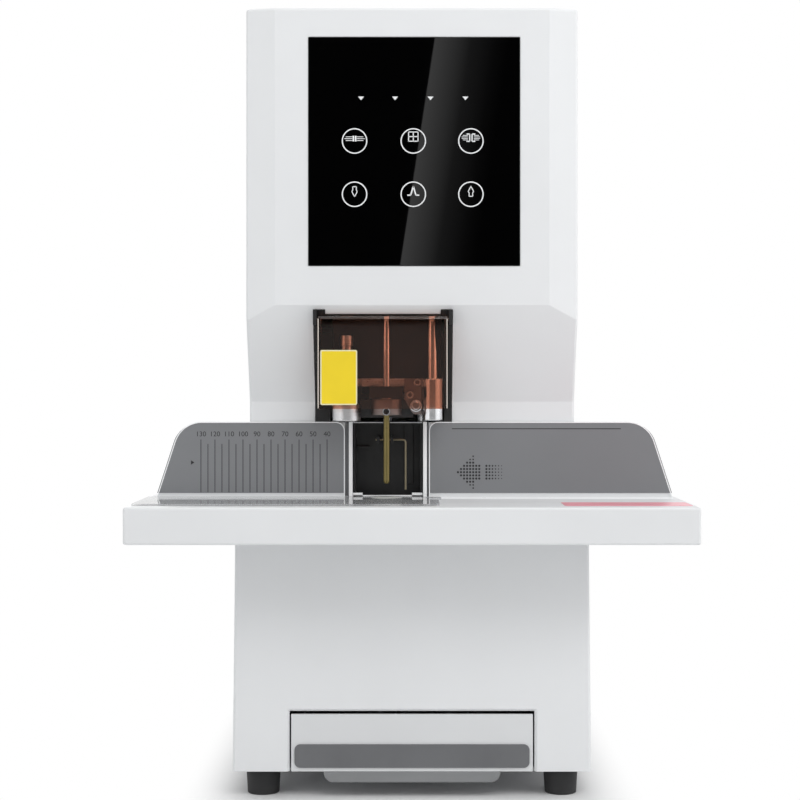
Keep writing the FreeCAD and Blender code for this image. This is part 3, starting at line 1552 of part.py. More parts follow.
PARTS = {
    "base_plate": make_base_plate,
    "rubber_feet": make_rubber_feet,
    "chassis_sides": make_chassis_sides,
    "deck_plate": make_deck_plate,
    "base_shell": make_base_shell,
    "base_rear_cover": make_base_rear_cover,
    "head_shell": make_head_shell,
    "head_rear_cover": make_head_rear_cover,
    "case_screws": make_case_screws,
    "table_top": make_table_top,
    "acrylic_sheet": make_acrylic_sheet,
    "cutting_pad": make_cutting_pad,
    "fences": make_fences,
    "scale_plate": make_scale_plate,
    "arrow_plate": make_arrow_plate,
    "throat_rails": make_throat_rails,
    "throat_liner": make_throat_liner,
    "scrap_chute": make_scrap_chute,
    "window_frame": make_window_frame,
    "touch_glass": make_touch_glass,
    "touch_board": make_touch_board,
    "side_frames": make_side_frames,
    "frame_bridges": make_frame_bridges,
    "guide_posts": make_guide_posts,
    "screw_bearings": make_screw_bearings,
    "lift_motor": make_lift_motor,
    "clearing_needle": make_clearing_needle,
    "anvil_guide": make_anvil_guide,
    "power_supply": make_power_supply,
    "main_board": make_main_board,
    "fan_frame": make_fan_frame,
    "power_inlet": make_power_inlet,
    "lift_screw": make_lift_screw,
    "carriage_plate": make_carriage_plate,
    "carriage_frame": make_carriage_frame,
    "carriage_bushings": make_carriage_bushings,
    "spindle_housing": make_spindle_housing,
    "spindle_bearings": make_spindle_bearings,
    "drill_motor": make_drill_motor,
    "drill_belt": make_drill_belt,
    "roller_bracket": make_roller_bracket,
    "drill_spindle": make_drill_spindle,
    "drill_chuck": make_drill_chuck,
    "chuck_screw": make_chuck_screw,
    "drill_bit": make_drill_bit,
    "motor_pulley": make_motor_pulley,
    "press_foot": make_press_foot,
    "press_spring": make_press_spring,
    "rivet_head": make_rivet_head,
    "rivet_spring": make_rivet_spring,
    "guide_roller": make_guide_roller,
    "lower_anvil": make_lower_anvil,
    "paper_feeler": make_paper_feeler,
    "amber_guard": make_amber_guard,
    "scrap_tray": make_scrap_tray,
    "drawer_front": make_drawer_front,
    "drawer_strip": make_drawer_strip,
    "drawer_pull": make_drawer_pull,
    "fan_rotor": make_fan_rotor,
    "power_rocker": make_power_rocker,
}

os.makedirs("parts", exist_ok=True)
for name, make in PARTS.items():
    shape = make()
    shape.exportStep(os.path.join("parts", name + ".step"))
    print(name, len(shape.Solids), "solids", round(shape.Volume / 1000, 2), "cm3", shape.isValid())
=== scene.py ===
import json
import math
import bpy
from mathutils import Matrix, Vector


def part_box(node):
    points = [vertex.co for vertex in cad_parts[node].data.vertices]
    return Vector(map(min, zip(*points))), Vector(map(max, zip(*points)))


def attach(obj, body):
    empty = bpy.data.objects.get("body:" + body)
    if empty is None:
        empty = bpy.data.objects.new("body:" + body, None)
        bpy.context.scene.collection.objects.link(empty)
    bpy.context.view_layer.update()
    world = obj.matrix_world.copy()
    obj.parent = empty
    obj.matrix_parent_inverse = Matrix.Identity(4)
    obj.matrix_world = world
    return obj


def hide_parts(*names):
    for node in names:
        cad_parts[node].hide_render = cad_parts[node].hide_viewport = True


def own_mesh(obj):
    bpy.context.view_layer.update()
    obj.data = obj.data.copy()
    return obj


bl_info = {
    "name": "Document riveting machine",
    "version": (1, 0, 0),
    "blender": (4, 5, 0),
    "location": "View3D > Sidebar > Riveter",
    "description": "Dresses the desktop paper drill and riveter on its frame",
    "category": "Object",
}

import bmesh
import bpy
from bpy.props import FloatProperty, FloatVectorProperty, IntProperty, PointerProperty
from bpy.types import Operator, Panel, PropertyGroup
from mathutils import Matrix, Vector

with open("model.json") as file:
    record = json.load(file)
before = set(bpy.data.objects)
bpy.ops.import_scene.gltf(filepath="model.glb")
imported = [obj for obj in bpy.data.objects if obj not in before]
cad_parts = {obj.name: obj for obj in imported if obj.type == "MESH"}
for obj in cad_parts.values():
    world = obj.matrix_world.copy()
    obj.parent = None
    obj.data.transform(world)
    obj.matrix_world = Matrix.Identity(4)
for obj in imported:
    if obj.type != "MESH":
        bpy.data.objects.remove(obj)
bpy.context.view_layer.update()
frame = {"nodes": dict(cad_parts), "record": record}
NODES = frame["nodes"]
SLOTS = {row["node"]: row["material_slot"] for row in frame["record"]["subparts"]}
BODIES = {node: body for body, names in frame["record"]["behaviour"]["bodies"].items() for node in names}
MM = 0.001
SMALLEST = 2e-6           # corners that lie closer than this are one corner
FLAT_ANGLE = math.radians(0.4)
SHARP_ANGLE = math.radians(32)
# Width of the bevel on sharp edges
BEVEL_PLATE = 0.10 * MM   # printed plates
BEVEL_FINE = 0.15 * MM    # turned parts, posts and the belt
BEVEL_SHEET = 0.20 * MM   # thin sheet and small screws
BEVEL_BOX = 0.25 * MM     # boards, bought-in boxes and the clear sheet
BEVEL_BLOCK = 0.30 * MM   # plates, blocks and frames
BEVEL_THICK = 0.40 * MM   # the carriage plate and the drawer's front
BEVEL_GLASS = 0.50 * MM
BEVEL_RUBBER = 0.60 * MM
BEVEL_PULL = 0.80 * MM
# How far things stand proud of the face that carries them, or reach into it
SHEET_LIFT = 0.04 * MM    # the clear sheet on the table
INK_SUNK = 0.02 * MM
KEY_INK = 0.05 * MM
PLATE_INK = 0.04 * MM
RED_FILM_LIFT = 0.15 * MM
RIM_LIFT = 0.1 * MM       # the fences' white rims
GUARD_SUNK = 0.01 * MM    # the guard's film, border and edges
GUARD_BORDER_LIFT = 0.10 * MM
GUARD_FILM_LIFT = 0.15 * MM
RING_LIFT = 0.1 * MM
SET_SCREW_SUNK = 0.6 * MM
BRACKET_RING_SUNK = 0.1 * MM
# Places and sizes on the object, in millimetres across (X) and up (Z)
KEY_COLUMNS = (-40.0, 0.9, 41.0)
KEY_ROWS = (458.9, 421.8)
PILOT_COLUMNS = (-35.5, -11.8, 12.9, 37.2)
PILOT_ROW = 488.6
PILOT_SHAPE = ((-2.1, 1.2), (0.0, -1.3), (2.1, 1.2))
SCALE_ZERO = -20.6
SCALE_LONG_TOP = 250.1
SCALE_SHORT_TOP = 246.9
SCALE_DIGIT_ROW = 253.9
SCALE_FOOT = 0.4          # from the plate's lower edge to the lines
SCALE_LINE = 0.5
SCALE_MARK = (-157.7, 233.7)
MARK_SHAPE = ((0.0, -1.6), (2.4, 0.0), (0.0, 1.6))
LIMIT_LINE = ((28.5, 257.8), (149.0, 257.8))
LIMIT_WIDTH = 0.6
RIM_WIDTH = 0.7
# The dotted arrow. Its rows and columns count in dots from its tip.
ARROW_TIP = (32.8, 226.8)
ARROW_REACH = (0, 1, 2, 3, 4, 5, 2, 2)
DOT_PITCH = (2.17, 2.27)
DOT_RADIUS = 0.80
BARB_RADIUS = 0.60
BARB_ROW = 4
TAIL_START = 9.35
TAIL_COLUMNS = 6
TAIL_REACH = 2
TAIL_SHRINK = 0.09
RED_FILM_SIZE = (86.0, 34.0)
RED_FILM_MARGIN = (3.0, 14.0)
RED_FILM_CORNER = 2.0
GUARD_SIDES = (-65.4, 24.6)
GUARD_FILM = ((-63.6, 275.1), (-38.0, 313.3))
GUARD_BORDER = 0.9
GUARD_BORDER_CORNER = 1.2
GUARD_FILM_CORNER = 0.6
# Pale strips on the guard's side edges: painted highlights where its clear edges catch the light
GUARD_HIGHLIGHT_WIDTH = 0.6
GUARD_HIGHLIGHT_ENDS = (0.4, 2.0)
BRACKET_SCREWS = ((3.8, 290.8), (-1.4, 282.0))
BRACKET_FRONT = -88.0
BRACKET_RING = (2.65, 1.45)
SET_SCREW_RING = (2.6, 2.1)
PRESS_TRAVEL = 7.0
RIVET_TRAVEL = 43.0
# The throat's trim. A part has its left, right, lower and upper side.
SILL_PARTS = ((-42.1, -35.3, 209.7, 212.0), (0.0, 7.5, 209.7, 212.0), (-42.1, 7.5, 209.6, 210.3))
SILL_PROUD = 0.5
# Dark grey strips in the gaps beside the throat: painted shade where the casing lies in shadow
SHADE_STRIP_PARTS = ((-47.8, -45.2, 209.7, 262.4), (10.7, 11.9, 209.7, 262.4))
SHADE_STRIP_PROUD = 0.3
SHADE_STRIP_SUNK = 0.05
TOP_EDGE = (-43.5, 7.1, 261.9, 262.4)
TOP_EDGE_PROUD = 0.1
TRIM_SETBACK = 15.0       # from the liner's rear to the trim's front
TRIM_DEPTH = 1.6
# Soft lamps: name, place and size in metres, share of the main lamp's power
LAMPS = (
    ("Main softbox", (0.6, -1.35, 1.6), (1.3, 0.9), 1.0),
    ("Left softbox", (-1.3, -1.3, 0.9), (1.0, 1.2), 0.34),
    ("Right softbox", (1.6, -0.5, 0.9), (1.0, 1.2), 0.60),
    ("Top softbox", (0.0, -0.1, 1.9), (1.4, 1.4), 0.38),
    ("Rear softbox", (-0.8, 1.8, 1.1), (1.2, 1.2), 0.45),
)
LAMP_AIM = (0, 0, 0.30)
# Reflected cards behind the camera, in metres
CARD_REACH = 1.8
CARD_LEVELS = (0.12, 0.42, 1.35)
CARD_DEPTH = -2.56
WINDOW_LEAN = math.radians(8.68)
WINDOW_FOOT = (-0.0252, 0.539)    # a point on the leaning left edge
WINDOW_WIDTH = 0.24
WINDOW_LEVELS = (0.45, 1.15)
WINDOW_DEPTH = -2.5
WINDOW_FADE = 0.17
FLOOR_REACH = 12
FOOTPRINT = (0.150, 0.165)    # half the floor patch that shows the object's shadow
FOOTPRINT_SHIFT = 0.03
FOOTPRINT_FADE = (0.76, 1.10)     # shares of the patch between which the floor turns white
PICTURE_SHIFT = (-0.015, -0.01875)    # shares of the picture's width
SENSOR_WIDTH = 36
materials = {}


# Settings that a user would change


class CasingSettings(PropertyGroup):
    paint: FloatVectorProperty(name="Paint", description="Colour of the powder coat", subtype="COLOR", size=3,
                               default=(0.80, 0.81, 0.82), min=0, max=1)
    roughness: FloatProperty(name="Roughness", description="How matt the powder coat is", default=0.45,
                             min=0, max=1, subtype="FACTOR")
    edge: FloatProperty(name="Edge", description="Width of the small bevel on sheet edges", default=0.35 * MM,
                        min=0, unit="LENGTH")


class PanelSettings(PropertyGroup):
    ring_radius: FloatProperty(name="Key ring", description="Outer radius of the ring round a key",
                               default=8.9 * MM, min=0, unit="LENGTH")
    line: FloatProperty(name="Line", description="Width of the printed lines", default=0.8 * MM, min=0,
                        unit="LENGTH")
    ink: FloatVectorProperty(name="Ink", description="Colour of the printed signs", subtype="COLOR", size=3,
                             default=(0.86, 0.87, 0.88), min=0, max=1)


class FenceSettings(PropertyGroup):
    film: FloatVectorProperty(name="Film", description="Colour of the printed grey film", subtype="COLOR",
                              size=3, default=(0.212, 0.217, 0.227), min=0, max=1)
    step: FloatProperty(name="Step", description="Distance between two long lines of the scale",
                        default=10 * MM, min=MM, unit="LENGTH")
    first: IntProperty(name="First number", description="The number nearest to the throat", default=40, min=0)
    last: IntProperty(name="Last number", description="The number furthest from the throat", default=130,
                      min=0)
    digit: FloatProperty(name="Digit height", description="Height of the scale's digits", default=3.5 * MM,
                         min=0, unit="LENGTH")


class GuardSettings(PropertyGroup):
    tint: FloatVectorProperty(name="Tint", description="Colour of the guard's clear plastic", subtype="COLOR",
                              size=3, default=(0.75, 0.46, 0.355), min=0, max=1)
    patch: FloatVectorProperty(name="Patch", description="Colour of the plain film on the guard",
                               subtype="COLOR", size=3, default=(0.90, 0.67, 0.012), min=0, max=1)


class StageSettings(PropertyGroup):
    lamp_power: FloatProperty(name="Lamp power", description="Power of the main soft lamp", default=11.5,
                              min=0, unit="POWER")
    sky: FloatProperty(name="Sky", description="Strength of the even light from all round", default=0.50,
                       min=0)
    distance: FloatProperty(name="Camera distance", description="Camera's distance in front of the centre",
                            default=1.289, min=0.1, unit="LENGTH")
    height: FloatProperty(name="Camera height", description="Height of the level camera", default=0.289,
                          unit="LENGTH")
    lens: FloatProperty(name="Lens", description="Focal length for a 36 mm wide picture", default=76.5, min=1,
                        unit="CAMERA")


# Making of materials


def fresh(name):
    material = bpy.data.materials.new(name)
    material.use_nodes = True
    tree = material.node_tree
    return material, tree, tree.nodes["Principled BSDF"]


def coordinates(tree, scale=(1, 1, 1), turn=(0, 0, 0)):
    source = tree.nodes.new("ShaderNodeTexCoord")
    mapping = tree.nodes.new("ShaderNodeMapping")
    mapping.inputs["Scale"].default_value = scale
    mapping.inputs["Rotation"].default_value = turn
    tree.links.new(source.outputs["Object"], mapping.inputs["Vector"])
    return mapping.outputs["Vector"]


def grain(tree, vector, scale, detail=2.0, roughness=0.5):
    noise = tree.nodes.new("ShaderNodeTexNoise")
    noise.inputs["Scale"].default_value = scale
    noise.inputs["Detail"].default_value = detail
    noise.inputs["Roughness"].default_value = roughness
    tree.links.new(vector, noise.inputs["Vector"])
    return noise.outputs["Fac"]


def ramp(tree, factor, stops):
    node = tree.nodes.new("ShaderNodeValToRGB")
    band = node.color_ramp
    while len(band.elements) < len(stops):
        band.elements.new(0.5)
    for element, (place, colour) in zip(band.elements, stops):
        element.position = place
        element.color = (*colour[:3], 1)
    tree.links.new(factor, node.inputs["Fac"])
    return node.outputs["Color"]


def shade(colour, share):
    return tuple(min(1.0, max(0.0, c * share)) for c in colour[:3])


def spread(tree, factor, low, high):
    node = tree.nodes.new("ShaderNodeMapRange")
    node.inputs["From Min"].default_value = 0.3
    node.inputs["From Max"].default_value = 0.7
    node.inputs["To Min"].default_value = low
    node.inputs["To Max"].default_value = high
    tree.links.new(factor, node.inputs["Value"])
    return node.outputs["Result"]


def relief(tree, bsdf, height, strength, distance):
    node = tree.nodes.new("ShaderNodeBump")
    node.inputs["Strength"].default_value = strength
    node.inputs["Distance"].default_value = distance
    tree.links.new(height, node.inputs["Height"])
    tree.links.new(node.outputs["Normal"], bsdf.inputs["Normal"])


def coated(name, colour, roughness, peel=900, strength=0.10, coat=0.15, patch=7.0, vary=0.03):
    # Powder coat or moulded skin: fine peel in the surface, faint cloudiness in colour and gloss.
    material, tree, bsdf = fresh(name)
    place = coordinates(tree)
    cloud = grain(tree, place, patch, 3.0)
    tree.links.new(ramp(tree, cloud, [(0.3, shade(colour, 1 - vary)), (0.7, shade(colour, 1 + vary / 2))]),
                   bsdf.inputs["Base Color"])
    tree.links.new(spread(tree, grain(tree, place, patch * 9), roughness * 0.9, roughness * 1.1),
                   bsdf.inputs["Roughness"])
    bsdf.inputs["Coat Weight"].default_value = coat
    bsdf.inputs["Coat Roughness"].default_value = 0.25
    relief(tree, bsdf, grain(tree, place, peel, 3.0), strength, 0.0002)
    return material


def metal(name, colour, roughness, lines=(900, 900, 900), strength=0.06, vary=0.12, patch=60.0):
    # Ground or turned metal: tool lines that are stretched along one direction, and stains.
    material, tree, bsdf = fresh(name)
    bsdf.inputs["Metallic"].default_value = 1.0
    marks = grain(tree, coordinates(tree, lines), 1.0, 3.0, 0.6)
    stain = grain(tree, coordinates(tree), patch, 4.0)
    tree.links.new(ramp(tree, stain, [(0.3, shade(colour, 1 - vary)), (0.7, shade(colour, 1 + vary / 3))]),
                   bsdf.inputs["Base Color"])
    tree.links.new(spread(tree, marks, roughness * 0.75, roughness * 1.3), bsdf.inputs["Roughness"])
    relief(tree, bsdf, marks, strength, 0.0001)
    return material


def clear(name, colour, roughness, index, weight):
    # Polished clear plastic with faint wipe marks.
    material, tree, bsdf = fresh(name)
    place = coordinates(tree)
    wipe = grain(tree, coordinates(tree, (14, 14, 3)), 6.0, 4.0)
    tree.links.new(ramp(tree, grain(tree, place, 9.0), [(0.3, shade(colour, 0.97)), (0.7, colour)]),
                   bsdf.inputs["Base Color"])
    tree.links.new(spread(tree, wipe, roughness * 0.6, roughness * 1.5), bsdf.inputs["Roughness"])
    bsdf.inputs["Transmission Weight"].default_value = weight
    bsdf.inputs["IOR"].default_value = index
    return material


def thin_sheet(name, colour, roughness, index, facing, grazing):
    # A thin clear sheet: see-through from above, a mirror at a low angle.
    material, tree, bsdf = fresh(name)
    place = coordinates(tree)
    tree.links.new(ramp(tree, grain(tree, place, 9.0), [(0.3, shade(colour, 0.97)), (0.7, colour)]),
                   bsdf.inputs["Base Color"])
    tree.links.new(spread(tree, grain(tree, place, 40.0, 4.0), roughness * 0.6, roughness * 1.5),
                   bsdf.inputs["Roughness"])
    bsdf.inputs["IOR"].default_value = index
    angle = tree.nodes.new("ShaderNodeLayerWeight")
    angle.inputs["Blend"].default_value = 0.5
    cover = tree.nodes.new("ShaderNodeMapRange")
    cover.inputs["From Min"].default_value = 0.80
    cover.inputs["From Max"].default_value = 0.93
    cover.inputs["To Min"].default_value = facing
    cover.inputs["To Max"].default_value = grazing
    tree.links.new(angle.outputs["Facing"], cover.inputs["Value"])
    tree.links.new(cover.outputs["Result"], bsdf.inputs["Alpha"])
    return material


def spangled(name, colour, roughness):
    # Zinc-coated sheet: pale and dark flakes.
    material, tree, bsdf = fresh(name)
    bsdf.inputs["Metallic"].default_value = 1.0
    flakes = tree.nodes.new("ShaderNodeTexVoronoi")
    flakes.inputs["Scale"].default_value = 160.0
    tree.links.new(coordinates(tree), flakes.inputs["Vector"])
    stops = [(0.1, shade(colour, 1.05)), (0.7, shade(colour, 0.86))]
    tree.links.new(ramp(tree, flakes.outputs["Distance"], stops), bsdf.inputs["Base Color"])
    tree.links.new(spread(tree, flakes.outputs["Distance"], roughness * 0.8, roughness * 1.2),
                   bsdf.inputs["Roughness"])
    relief(tree, bsdf, grain(tree, coordinates(tree), 700.0), 0.05, 0.0001)
    return material


def circuit(name, colour):
    # Lacquered board: a fine net of tracks under green lacquer.
    material, tree, bsdf = fresh(name)
    tracks = tree.nodes.new("ShaderNodeTexBrick")
    tracks.inputs["Scale"].default_value = 90.0
    tracks.inputs["Mortar Size"].default_value = 0.03
    tracks.inputs["Color1"].default_value = (*shade(colour, 1.0), 1)
    tracks.inputs["Color2"].default_value = (*shade(colour, 0.75), 1)
    tracks.inputs["Mortar"].default_value = (*shade(colour, 2.2), 1)
    tree.links.new(coordinates(tree, (1, 1, 1), (math.radians(90), 0, 0)), tracks.inputs["Vector"])
    tree.links.new(tracks.outputs["Color"], bsdf.inputs["Base Color"])
    bsdf.inputs["Roughness"].default_value = 0.35
    bsdf.inputs["Coat Weight"].default_value = 0.5
    relief(tree, bsdf, tracks.outputs["Fac"], 0.1, 0.0001)
    return material


def ribbed(name, colour, roughness, pitch, direction):
    # Moulded rubber with fine ribs.
    material, tree, bsdf = fresh(name)
    ribs = tree.nodes.new("ShaderNodeTexWave")
    ribs.bands_direction = direction
    ribs.inputs["Scale"].default_value = 1 / pitch / 20
    ribs.inputs["Distortion"].default_value = 0.0
    tree.links.new(coordinates(tree), ribs.inputs["Vector"])
    dust = grain(tree, coordinates(tree), 120.0, 4.0)
    tree.links.new(ramp(tree, dust, [(0.3, shade(colour, 0.8)), (0.7, shade(colour, 1.3))]),
                   bsdf.inputs["Base Color"])
    tree.links.new(spread(tree, dust, roughness * 0.9, roughness * 1.1), bsdf.inputs["Roughness"])
    relief(tree, bsdf, ribs.outputs["Fac"], 0.25, 0.0004)
    return material


def make_materials(scene):
    casing = scene.riveter_casing
    white = tuple(casing.paint)
    rough = casing.roughness
    turned = (60, 60, 5200)
    ground_x = (120, 3200, 3200)
    materials.update({
        "casing_white": coated("Powder coat white", white, rough, coat=0.0),
        "table_white": coated("Table powder coat", shade(white, 0.985), rough * 0.95, coat=0.0),
        "plate_grey": coated("Printed grey film", tuple(scene.riveter_fences.film), 0.34, 1500, 0.05, 0.35,
                             12, 0.05),
        "black_plastic": coated("Black moulded plastic", (0.0045, 0.0045, 0.005), 0.50, 1800, 0.22, 0.0, 25,
                                0.2),
        "black_gloss": coated("Black glass panel", (0.0009, 0.0009, 0.001), 0.012, 30, 0.0, 0.0, 20, 0.1),
        "clear_acrylic": thin_sheet("Clear acrylic sheet", (0.42, 0.43, 0.435), 0.03, 1.49, 0.05, 0.90),
        "amber_acrylic": clear("Amber guard plastic", tuple(scene.riveter_guard.tint), 0.03, 1.49, 1.0),
        "foot_rubber": ribbed("Foot rubber", (0.020, 0.020, 0.021), 0.7, 3 * MM, "Z"),
        "pad_plastic": coated("Cutting pad plastic", (0.72, 0.73, 0.70), 0.5, 1200, 0.15, 0.0, 60, 0.08),
        "zinc_steel": spangled("Zinc-coated sheet", (0.62, 0.63, 0.65), 0.34),
        "bright_steel": metal("Bright turned steel", (0.80, 0.81, 0.83), 0.15, turned),
        "cast_alloy": metal("Cast alloy", (0.60, 0.61, 0.63), 0.42, (700, 700, 700), 0.15),
        "black_steel": coated("Black oxide steel", (0.012, 0.012, 0.013), 0.40, 1100, 0.12, 0.2, 40, 0.25),
        "bearing_steel": metal("Bearing steel", (0.68, 0.69, 0.71), 0.2, turned),
        "bronze": metal("Drawn bronze", (0.62, 0.43, 0.20), 0.3, turned),
        "gold_coating": metal("Gold-coloured drill coating", (0.20, 0.16, 0.065), 0.36, (90, 90, 2600), 0.1),
        "belt_rubber": ribbed("Belt rubber", (0.020, 0.020, 0.020), 0.6, 2 * MM, "Y"),
        "board_green": circuit("Circuit board", (0.012, 0.085, 0.030)),
        "spring_steel": metal("Spring wire", (0.52, 0.53, 0.55), 0.25, (900, 900, 900)),
        "drawer_grey": coated("Drawer paint", shade(white, 0.88), 0.40),
        "label_grey": coated("Grey drawer strip", (0.135, 0.138, 0.145), 0.5, 1400, 0.12, 0.1, 30, 0.08),
        "plate_steel": metal("Ground steel plate", (0.80, 0.80, 0.81), 0.30, ground_x, 0.10, 0.40, 38.0),
        "white_ink": coated("White ink", tuple(scene.riveter_panel.ink), 0.45, 2500, 0.05, 0.0, 60, 0.03),
        "black_ink": coated("Black ink", (0.018, 0.018, 0.020), 0.5, 2500, 0.05, 0.0, 60, 0.1),
        "red_film": coated("Red film", (0.92, 0.32, 0.39), 0.35, 1500, 0.04, 0.3, 20, 0.06),
        "pull_grey": coated("Grey drawer pull", (0.225, 0.23, 0.235), 0.42, 1300, 0.12, 0.1, 30, 0.06),
        "yellow_film": coated("Yellow film", tuple(scene.riveter_guard.patch), 0.5, 1500, 0.04, 0.0, 30,
                              0.06),
        "pale_film": coated("Pale film border", (0.86, 0.80, 0.50), 0.4, 1500, 0.04, 0.2, 30, 0.04),
        "satin_steel": metal("Satin steel", (0.25, 0.215, 0.205), 0.48, turned, 0.08, 0.10),
        "brushed_steel": metal("Brushed steel", (0.66, 0.66, 0.67), 0.33, turned, 0.08, 0.10),
        "dull_wire": metal("Dull brass wire", (0.26, 0.225, 0.155), 0.40, turned),
        # Pale glossy colour for the strips on the guard's side edges: a painted highlight
        "guard_edge_highlight": coated("Painted guard edge highlight", (0.82, 0.74, 0.66), 0.15, 2000, 0.02, 0.5, 60, 0.03),
        "rail_white": coated("White throat rail", (0.96, 0.965, 0.97), 0.30, 1200, 0.04, 0.3, 20, 0.02),
    })


# Making of meshes


def settle(name, bm, body, material, smooth=35):
    # Turns a finished bmesh into a piece of the object that rides on a body.
    mesh = bpy.data.meshes.new(name)
    bm.to_mesh(mesh)
    bm.free()
    mesh.polygons.foreach_set("use_smooth", [True] * len(mesh.polygons))
    mesh.set_sharp_from_angle(angle=math.radians(smooth))
    piece = bpy.data.objects.new(name, mesh)
    bpy.context.scene.collection.objects.link(piece)
    mesh.materials.append(materials[material])
    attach(piece, body)
    return piece


def refined(node, edge=0.0, material=None, segments=2, smooth=True):
    # A merged copy of a frame part with small bevels on its sharp edges, none of which leaves its box.
    bm = bmesh.new()
    bm.from_mesh(NODES[node].data)
    bmesh.ops.remove_doubles(bm, verts=bm.verts, dist=SMALLEST)
    if edge > 0:
        bmesh.ops.dissolve_limit(bm, angle_limit=FLAT_ANGLE, verts=bm.verts, edges=bm.edges,
                                 use_dissolve_boundaries=False)
        bmesh.ops.connect_verts_concave(bm, faces=bm.faces)
        hard = [e for e in bm.edges if len(e.link_faces) == 2 and e.calc_face_angle() > SHARP_ANGLE]
        bmesh.ops.bevel(bm, geom=hard, offset=edge, offset_type="OFFSET", affect="EDGES", segments=segments,
                        profile=0.5, material=-1, clamp_overlap=True, miter_outer="ARC")
        low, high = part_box(node)
        for vert in bm.verts:
            vert.co = [min(max(c, a), b) for c, a, b in zip(vert.co, low, high)]
    piece = settle(node + "_dressed", bm, BODIES[node], material or SLOTS[node], 38)
    if smooth:
        flat = piece.modifiers.new("Even shading", "WEIGHTED_NORMAL")
        flat.keep_sharp = True
    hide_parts(node)
    return piece


def pull(bm, faces, shift):
    # Makes flat faces into a solid that reaches from them to their shifted copy.
    made = bmesh.ops.extrude_face_region(bm, geom=faces)["geom"]
    bmesh.ops.translate(bm, verts=[v for v in made if isinstance(v, bmesh.types.BMVert)], vec=shift)


def prism(bm, points, y0, y1):
    # A flat shape in X and Z that is pulled from y0 to y1.
    verts = [bm.verts.new((x, y0, z)) for x, z in points]
    pull(bm, [bm.faces.new(verts)], (0, y1 - y0, 0))


def plank(bm, low, high, y0, y1):
    # An upright rectangle in X and Z.
    prism(bm, [low, (high[0], low[1]), high, (low[0], high[1])], y0, y1)


def trim(parts, y0, y1):
    # Upright strips from their left, right, lower and upper sides in millimetres.
    bm = bmesh.new()
    for left, right, bottom, top in parts:
        plank(bm, (left * MM, bottom * MM), (right * MM, top * MM), y0, y1)
    return outward(bm)


def stroke(bm, start, end, width, y0, y1):
    # A straight printed line between two points.
    a = Vector(start)
    b = Vector(end)
    side = (b - a).normalized().orthogonal() * width / 2
    prism(bm, [a + side, a - side, b - side, b + side], y0, y1)


def path(bm, points, width, y0, y1, closed=False):
    count = len(points)
    for i in range(count if closed else count - 1):
        stroke(bm, points[i], points[(i + 1) % count], width, y0, y1)


def hoop(bm, centre, outer, inner, y0, y1, steps=48):
    # A printed ring, or a washer, that faces the front.
    turn = Matrix.Rotation(math.radians(90), 4, "X")
    rims = []
    for radius in (outer, inner):
        made = bmesh.ops.create_circle(bm, cap_ends=False, radius=radius, segments=steps,
                                       matrix=Matrix.Translation((centre[0], y0, centre[1])) @ turn)
        rims.append({e for v in made["verts"] for e in v.link_edges})
    band = bmesh.ops.bridge_loops(bm, edges=list(rims[0] | rims[1]))["faces"]
    pull(bm, band, (0, y1 - y0, 0))


def dot(bm, centre, radius, y0, y1, steps=16):
    turn = Matrix.Rotation(math.radians(90), 4, "X")
    made = bmesh.ops.create_circle(bm, cap_ends=True, radius=radius, segments=steps,
                                   matrix=Matrix.Translation((centre[0], y0, centre[1])) @ turn)
    pull(bm, list({f for v in made["verts"] for f in v.link_faces}), (0, y1 - y0, 0))


def outward(bm):
    bmesh.ops.recalc_face_normals(bm, faces=bm.faces)
    return bm


def rounded_patch(bm, low, high, radius, y0, y1, steps=5):
    # A rounded rectangle in X and Z.
    points = []
    corners = [(high[0] - radius, high[1] - radius, 0), (low[0] + radius, high[1] - radius, 90),
               (low[0] + radius, low[1] + radius, 180), (high[0] - radius, low[1] + radius, 270)]
    for x, z, start in corners:
        for i in range(steps + 1):
            angle = math.radians(start + 90 * i / steps)
            points.append((x + radius * math.cos(angle), z + radius * math.sin(angle)))
    prism(bm, points, y0, y1)


def face_rim(node, front, width, lift):
    # A thin raised border along the edges of a node's flat faces that look forward at one depth.
    bm = bmesh.new()
    bm.from_mesh(NODES[node].data)
    bmesh.ops.remove_doubles(bm, verts=bm.verts, dist=SMALLEST)
    spare = [f for f in bm.faces if f.normal.y > -0.99 or abs(f.calc_center_median().y - front) > 0.01 * MM]
    bmesh.ops.delete(bm, geom=spare, context="FACES")
    bmesh.ops.dissolve_limit(bm, angle_limit=FLAT_ANGLE, verts=bm.verts, edges=bm.edges)
    inner = list(bm.faces)
    bmesh.ops.inset_region(bm, faces=inner, thickness=width, use_boundary=True, use_even_offset=True)
    bmesh.ops.delete(bm, geom=inner, context="FACES")
    bmesh.ops.translate(bm, verts=bm.verts, vec=(0, INK_SUNK, 0))
    pull(bm, list(bm.faces), (0, -lift, 0))
    return outward(bm)


def lettering(bm, text, centre, height, y0, y1):
    # Plain digits as a thin solid that faces the front.
    curve = bpy.data.curves.new("digits", "FONT")
    curve.body = text
    curve.size = height / 0.70
    curve.align_x = "CENTER"
    curve.align_y = "CENTER"
    curve.resolution_u = 4
    curve.extrude = abs(y1 - y0) / 2
    holder = bpy.data.objects.new("digits", curve)
    made = bpy.data.meshes.new_from_object(holder)
    upright = Matrix.Rotation(math.radians(90), 4, "X")
    made.transform(Matrix.Translation((centre[0], (y0 + y1) / 2, centre[1])) @ upright)
    bm.from_mesh(made)
    bpy.data.objects.remove(holder)
    bpy.data.curves.remove(curve)
    bpy.data.meshes.remove(made)


# Operators, one for each group of pieces


class RIVETER_OT_materials(Operator):
    """Make the object's finishes"""
    bl_idname = "riveter.materials"
    bl_label = "Finishes"

    def execute(self, context):
        make_materials(context.scene)
        return {"FINISHED"}


